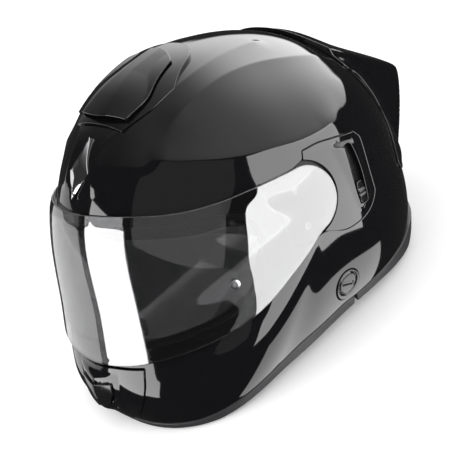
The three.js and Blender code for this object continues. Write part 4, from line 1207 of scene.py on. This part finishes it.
def screw(name, node, place, sign, radius, depth, lift, body="shell", square=True):
    """A domed screw head with a hexagon recess, standing sideways or square to the surface."""
    top = side_point(*place, sign, lift)
    axis = np.array([sign, 0, 0]) if square else surface_normal(on_side(np.array([place]), sign))[0]
    profile = [(0, -depth), (radius * 0.96, -depth), (radius, -depth + 0.3), (radius, -0.7),
               (radius * 0.94, -0.25), (radius * 0.8, 0),
               (radius * 0.46, 0.05), (radius * 0.42, -0.2), (radius * 0.4, -0.9), (0, -1.0)]
    stand = standing(top, axis)
    vertices, faces = lathe(profile, stand, SCREW_STEPS)
    turned = stand[:3, :3]
    # The recess's rings become six-sided.
    for ring in range(len(profile) - 4, len(profile) - 2):
        for i in range(SCREW_STEPS):
            k = 1 + ring * SCREW_STEPS + i
            a = (i * 360 / SCREW_STEPS) % 60 - 30
            q = (vertices[k] - top) @ turned
            q[:2] *= math.cos(math.radians(30)) / math.cos(math.radians(a)) * 1.1
            vertices[k] = top + turned @ q
    made = piece(name, vertices, faces, material=steel, body=body, replaces=[node], slot="steel")
    made.data.set_sharp_from_angle(angle=math.radians(35))


for side, sign in SIDES:
    screw(f"spoiler_bolt_{side}", f"spoiler_screw_{side}", SPOILER_SCREW, sign, 3.0, 2.6, 2.2)
    for level, place in HINGE_SCREWS.items():
        screw(f"hinge_bolt_{level}_{side}", f"hinge_screw_{level}_{side}", place, sign, 3.0, 1.2, -0.6)
    head = visor_gap(on_side(np.array([INSERT_PIN]), sign))[0] + VISOR_WALL + PIN_PROUD
    screw(f"insert_pin_{side}", f"pinlock_pin_{side}", INSERT_PIN, sign, 3.8, 3.6, head,
          body="visor", square=False)


# ---------- chin strap ----------
STRAP_Y = 14.0
STRAP_WIDTH = 24.0
STRAP_WALL = 2.0
STRAP_Z = 17.0
BUCKLE_X = 34.0
BUCKLE_LENGTH = 32.0
RATCHET_START = -22.0
ANCHOR_Z = 56
EDGE_ROLL = [(0.1, 0.35), (0.5, 0.05), (2, 0.18)]      # how far in from the webbing's edge, and how thin
anchor_x = side_point(STRAP_Y, ANCHOR_Z, 1, -SHELL_WALL)[0]


def ribbon(name, node, line, sign):
    """Flat webbing along a line of the front view, with rolled edges."""
    path = spread(flowing(line, closed=False, corner_deg=80), 1.6, closed=False)
    tangent = unit(np.gradient(path, axis=0))
    normal = np.stack([-tangent[:, 1], tangent[:, 0]], axis=1)
    half = STRAP_WIDTH / 2
    section = [(-half + y, t) for y, t in EDGE_ROLL]
    section += [(y, EDGE_ROLL[-1][1]) for y in np.linspace(-half + 4, half - 4, 9)]
    section += [(half - y, t) for y, t in reversed(EDGE_ROLL)]
    ring = section + [(y, STRAP_WALL - t) for y, t in reversed(section)]
    vertices, faces = [], []
    for p, n in zip(path, normal):
        for y, t in ring:
            q = p + n * t
            vertices.append((sign * q[0], STRAP_Y + y, q[1]))
    m = len(ring)
    for i in range(len(path) - 1):
        for j in range(m):
            k = (j + 1) % m
            quad = (i * m + j, i * m + k, (i + 1) * m + k, (i + 1) * m + j)
            faces.append(quad if sign > 0 else quad[::-1])
    first = tuple(range(m))
    last = tuple((len(path) - 1) * m + j for j in range(m))
    faces += [first[::-1], last] if sign > 0 else [first, last[::-1]]
    made = piece(name, vertices, faces, material=webbing, replaces=[node], slot="webbing")
    made.data.set_sharp_from_angle(angle=math.radians(50))
    return made


strap_ends = (BUCKLE_X + BUCKLE_LENGTH / 2 + FIT_GAP, -RATCHET_START + FIT_GAP)
for (side, sign), inner_x in zip(SIDES, strap_ends):
    line = [(anchor_x - 10, ANCHOR_Z), (anchor_x - 13, 40), (anchor_x - 23, 27), (anchor_x - 38, STRAP_Z + 2),
            (anchor_x - 50, STRAP_Z), (inner_x, STRAP_Z)]
    ribbon(f"webbing_{side}", f"chin_strap_{side}", line, sign)


# ---------- padding ----------
def applied(thing):
    """The object's mesh with its modifiers applied."""
    bpy.context.view_layer.update()
    shown = thing.evaluated_get(bpy.context.evaluated_depsgraph_get())
    return bpy.data.meshes.new_from_object(shown)


VOXEL = 5.0
CLOTH_PRESSURE = 4.0
CLOTH_FRAMES = 20


def values_of(mesh, what):
    """The mesh's co or normal as rows."""
    values = np.zeros(len(mesh.vertices) * 3, np.float32)
    mesh.vertices.foreach_get(what, values)
    return values.reshape(-1, 3)


def move_to(mesh, points):
    mesh.vertices.foreach_set("co", points.astype(np.float32).ravel())
    mesh.update()


def swollen(pad, rest, most):
    """Where a pressurised cloth simulation takes the pad's points, moved by at most so many metres."""
    cloth = pad.modifiers.new("cloth", "CLOTH")
    cloth.settings.use_pressure = True
    cloth.settings.uniform_pressure_force = CLOTH_PRESSURE
    cloth.settings.effector_weights.gravity = 0.0
    cloth.settings.quality = 5
    scene = bpy.context.scene
    for number in range(1, CLOTH_FRAMES + 1):
        scene.frame_set(number)
    shift = values_of(applied(pad), "co") - rest
    pad.modifiers.clear()
    scene.frame_set(1)
    size = np.linalg.norm(shift, axis=1, keepdims=True)
    return rest + shift * np.minimum(1, most / np.maximum(size, 1e-9))


def stuffed(name, node, swell, inset, seam):
    """A pad blown up by a cloth simulation from the space its CAD solid holds, with seams sewn in.

    It starts smaller by the inset, swells by at most so much, and seam gives the depth sewn in at points.
    """
    pad = bpy.data.objects.new(name, frame["nodes"][node].data.copy())
    pad.data.name = name
    bpy.context.scene.collection.objects.link(pad)
    pad.data.materials.clear()
    remesh = pad.modifiers.new("even", "REMESH")
    remesh.mode = "VOXEL"
    remesh.voxel_size = VOXEL * MM
    pad.data = applied(pad)
    pad.modifiers.clear()
    rest = values_of(pad.data, "co") - values_of(pad.data, "normal") * inset * MM
    move_to(pad.data, rest)
    rest = swollen(pad, rest, swell * MM)
    move_to(pad.data, rest)
    depth = seam(rest / MM - np.array([0, SHIFT_Y, 0])) * MM
    move_to(pad.data, rest - values_of(pad.data, "normal") * depth[:, None])
    pad.data.shade_smooth()
    smooth = pad.modifiers.new("smooth", "SUBSURF")
    smooth.levels = smooth.render_levels = 1
    pad.data = applied(pad)
    pad.modifiers.clear()
    pad.data.materials.clear()
    pad.data.materials.append(lining)
    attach(pad, "shell")
    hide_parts(node)


SEAM_HALF_WIDTH = 2.2
SEAM_DEPTH = 1.6


def channel(distance):
    return SEAM_DEPTH * np.exp(-(distance / SEAM_HALF_WIDTH) ** 2)


def crown_seam(p):
    return np.maximum.reduce([channel(np.abs(p[:, 0]) - 34), channel(p[:, 1] - 42), channel(p[:, 1] + 28)])


def cheek_seam(p):
    return channel(np.hypot(p[:, 1] + 44, (p[:, 2] - 50) * 1.4) - 24)


stuffed("crown_cushion", "crown_pad", 4.0, 1.6, seam=crown_seam)
stuffed("neck_cushion", "neck_roll", 3.0, 1.2, seam=lambda p: channel(p[:, 2] - 34))
for side in ("left", "right"):
    stuffed(f"cheek_cushion_{side}", f"cheek_pad_{side}", 3.5, 1.4, seam=cheek_seam)


CURTAIN_HALF_WIDTH = 92
CURTAIN_COLUMNS = 61
CURTAIN_ROWS = 12
CURTAIN_FACES = (7.5, 8.7)
CURTAIN_REAR_Y = -118.4
CURTAIN_SLACK = 0.6
RIPPLE = 0.0625


def chin_curtain():
    """Two thin layers of cloth sewn together at their rear edge, stretched inside the chin bar."""
    xs = np.linspace(-CURTAIN_HALF_WIDTH, CURTAIN_HALF_WIDTH, CURTAIN_COLUMNS)
    y = np.linspace(-170, -110, 400)
    front = []
    for x in xs:
        p = np.stack([np.full(400, x), y, np.full(400, 8.0)], axis=1) - CENTRE
        size = np.linalg.norm(p, axis=1)
        inside = size < surface_radius(p / size[:, None]) - TRIM_WALL - 1.6
        front.append(y[np.argmax(inside)] if inside.any() else CURTAIN_REAR_Y)
    front = np.minimum(np.array(front), CURTAIN_REAR_Y - CURTAIN_SLACK)
    under, top = [], []
    for x, y0 in zip(xs, front):
        row = np.linspace(y0, CURTAIN_REAR_Y, CURTAIN_ROWS)
        share = (row - y0) / (CURTAIN_REAR_Y - y0)
        ripple = RIPPLE * np.sin(x * 0.35) * np.sin(share * math.pi)
        for rows, z in zip((under, top), CURTAIN_FACES):
            rows.append([(x, y, z + r) for y, r in zip(row, ripple)])
    vertices, faces = grid_shell(np.array(top), np.array(under))
    faces = [f[::-1] for f in faces]
    made = piece("chin_curtain_cloth", vertices, faces, material=lining,
                 replaces=["chin_curtain"], slot="lining")
    made.data.set_sharp_from_angle(angle=math.radians(50))
    return made, float(np.trapz(CURTAIN_REAR_Y - front, xs)) * MM * MM


curtain, curtain_area = chin_curtain()

# ---------- CAD pieces that keep their shape ----------
finishes = {"slider_carriage": ratchet_plastic, "ratchet_strap": ratchet_plastic, "buckle_body": steel,
            "buckle_axle": steel, "buckle_lever": lever_red}
for side, _ in SIDES:
    finishes |= {f"hinge_plate_{side}": rubber, f"sun_visor_pin_{side}": steel, f"strap_anchor_{side}": steel}
for name, finish in finishes.items():
    node = frame["nodes"][name]
    node.data.materials.clear()
    node.data.materials.append(finish)

# ---------- floor, camera and light ----------
# The floor glows a little, so that the helmet's shadow stays faint, and the gloss doesn't mirror it.
FLOOR_REACH = 6.0
FLOOR_GLOW = 0.12
floor_mesh = bpy.data.meshes.new("floor")
floor_corners = ((-1, -1), (1, -1), (1, 1), (-1, 1))
floor_mesh.from_pydata([(x * FLOOR_REACH, y * FLOOR_REACH, 0) for x, y in floor_corners], [], [(0, 1, 2, 3)])
floor = bpy.data.objects.new("floor", floor_mesh)
bpy.context.scene.collection.objects.link(floor)
floor_mesh.materials.append(material("pale_floor", (0.92, 0.92, 0.92), 0.9, specular=0.1, mottle=(0.01, 3)))
floor_shader = floor_mesh.materials[0].node_tree.nodes["Principled BSDF"]
floor_shader.inputs["Emission Color"].default_value = (1, 1, 1, 1)
floor_shader.inputs["Emission Strength"].default_value = FLOOR_GLOW
floor.visible_glossy = False

# The camera's place and aim in the design frame, and its focal length in picture widths.
CAMERA_PLACE = Vector((783.96, -427.08, 522.01))
CAMERA_BACK = Vector((0.78396233, -0.42418254, 0.45329046)).normalized()
CAMERA_ABOVE = Vector((-0.15238684, 0.57633639, 0.80287896)).normalized()
CAMERA_FOCAL = 1220 / 460
camera_data = bpy.data.cameras.new("camera")
camera = bpy.data.objects.new("camera", camera_data)
bpy.context.scene.collection.objects.link(camera)
right = CAMERA_ABOVE.cross(CAMERA_BACK).normalized()
turned = Matrix((right, CAMERA_BACK.cross(right), CAMERA_BACK)).transposed().to_4x4()
camera.matrix_world = Matrix.Translation((CAMERA_PLACE + Vector((0, SHIFT_Y, 0))) * MM) @ turned
camera_data.sensor_width = 36
camera_data.lens = camera_data.sensor_width * CAMERA_FOCAL
camera_data.clip_start = 0.01
bpy.context.scene.camera = camera


def towards(turn_deg, rise_deg):
    """Unit vector: turn 0 is ahead of the helmet, 90 its left side; rise is above the horizon."""
    turn, rise = math.radians(turn_deg), math.radians(rise_deg)
    return Vector((math.sin(turn) * math.cos(rise), -math.cos(turn) * math.cos(rise), math.sin(rise)))


LIGHT_TARGET = Vector((0, 0, 0.11))
LIGHT_DISTANCE = 2.2


def softbox(name, turn_deg, rise_deg, wide_deg, tall_deg, radiance, lean_deg=0.0):
    """A rectangular softbox that fills an angle seen from the helmet, its top leaning towards larger turns.

    radiance is how bright it looks in a mirror, where 1 is white.
    """
    data = bpy.data.lights.new(name, "AREA")
    data.shape = "RECTANGLE"
    data.size, data.size_y = (2 * LIGHT_DISTANCE * math.tan(math.radians(angle / 2))
                              for angle in (wide_deg, tall_deg))
    data.energy = radiance * math.pi * data.size * data.size_y
    lamp = bpy.data.objects.new(name, data)
    bpy.context.scene.collection.objects.link(lamp)
    facing = towards(turn_deg, rise_deg)
    beside = Vector((0, 0, 1)).cross(facing).normalized()
    axes = Matrix((beside, facing.cross(beside), facing)).transposed().to_4x4()
    lean = Matrix.Rotation(-math.radians(lean_deg), 4, "Z")
    lamp.matrix_world = Matrix.Translation(LIGHT_TARGET + facing * LIGHT_DISTANCE) @ axes @ lean


softbox("side_box", 108, -6, 70, 52, 4.2, lean_deg=18)
softbox("side_low", 124, -63, 40, 28, 2.2)
softbox("front_strip", -20, 8, 33, 36, 4.6, lean_deg=8)
softbox("right_box", -66, -8, 44, 34, 0.8)
softbox("forehead_fill", 38, 27, 56, 34, 0.2, lean_deg=20)

world = bpy.data.worlds.new("studio")
bpy.context.scene.world = world
world.use_nodes = True
tree = world.node_tree
sky = tree.nodes["Background"]
sky.inputs["Color"].default_value = (1, 1, 1, 1)
looking = added(tree, "TexCoord", {}).outputs["Generated"]


def sky_math(kind, a, b):
    return added(tree, "Math", {0: a, 1: b}, operation=kind).outputs[0]


def sky_along(axis):
    return added(tree, "VectorMath", {0: looking, 1: axis}, operation="DOT_PRODUCT").outputs["Value"]


def sky_step(value, low, high):
    inputs = {"Value": value, "From Min": low, "From Max": high, "To Min": 0.0, "To Max": 1.0}
    return added(tree, "MapRange", inputs, interpolation_type="SMOOTHSTEP").outputs["Result"]


def sky_panel(turn_deg, rise_deg, sharpness, strength):
    """A soft glow about a direction."""
    facing = sky_math("MAXIMUM", sky_along(towards(turn_deg, rise_deg)), 0.0)
    return sky_math("MULTIPLY", sky_math("POWER", facing, sharpness), strength)


# What the gloss mirrors is a dark studio with two soft panels above the horizon; everything else is
# lit by an even white tent.
UPPER_SIDE_EDGE = Vector((0, 0.5, 1)).normalized()
DARK_STUDIO = 0.03
WHITE_TENT = 1.2
rear_panel = sky_panel(-166, 18, 4.0, 4.0)
side_panel = sky_math("MULTIPLY", sky_panel(120, 50, 2.0, 0.85),
                      sky_step(sky_along(UPPER_SIDE_EDGE), 0.43, 0.455))
panels = sky_math("MULTIPLY", sky_math("ADD", rear_panel, side_panel),
                  sky_step(sky_along(Vector((0, 0, 1))), 0.02, 0.09))
choice = added(tree, "Mix", {"Factor": added(tree, "LightPath", {}).outputs["Is Glossy Ray"],
                             "A": WHITE_TENT, "B": sky_math("ADD", panels, DARK_STUDIO)})
tree.links.new(choice.outputs["Result"], sky.inputs["Strength"])
bpy.context.scene.view_settings.view_transform = "Standard"
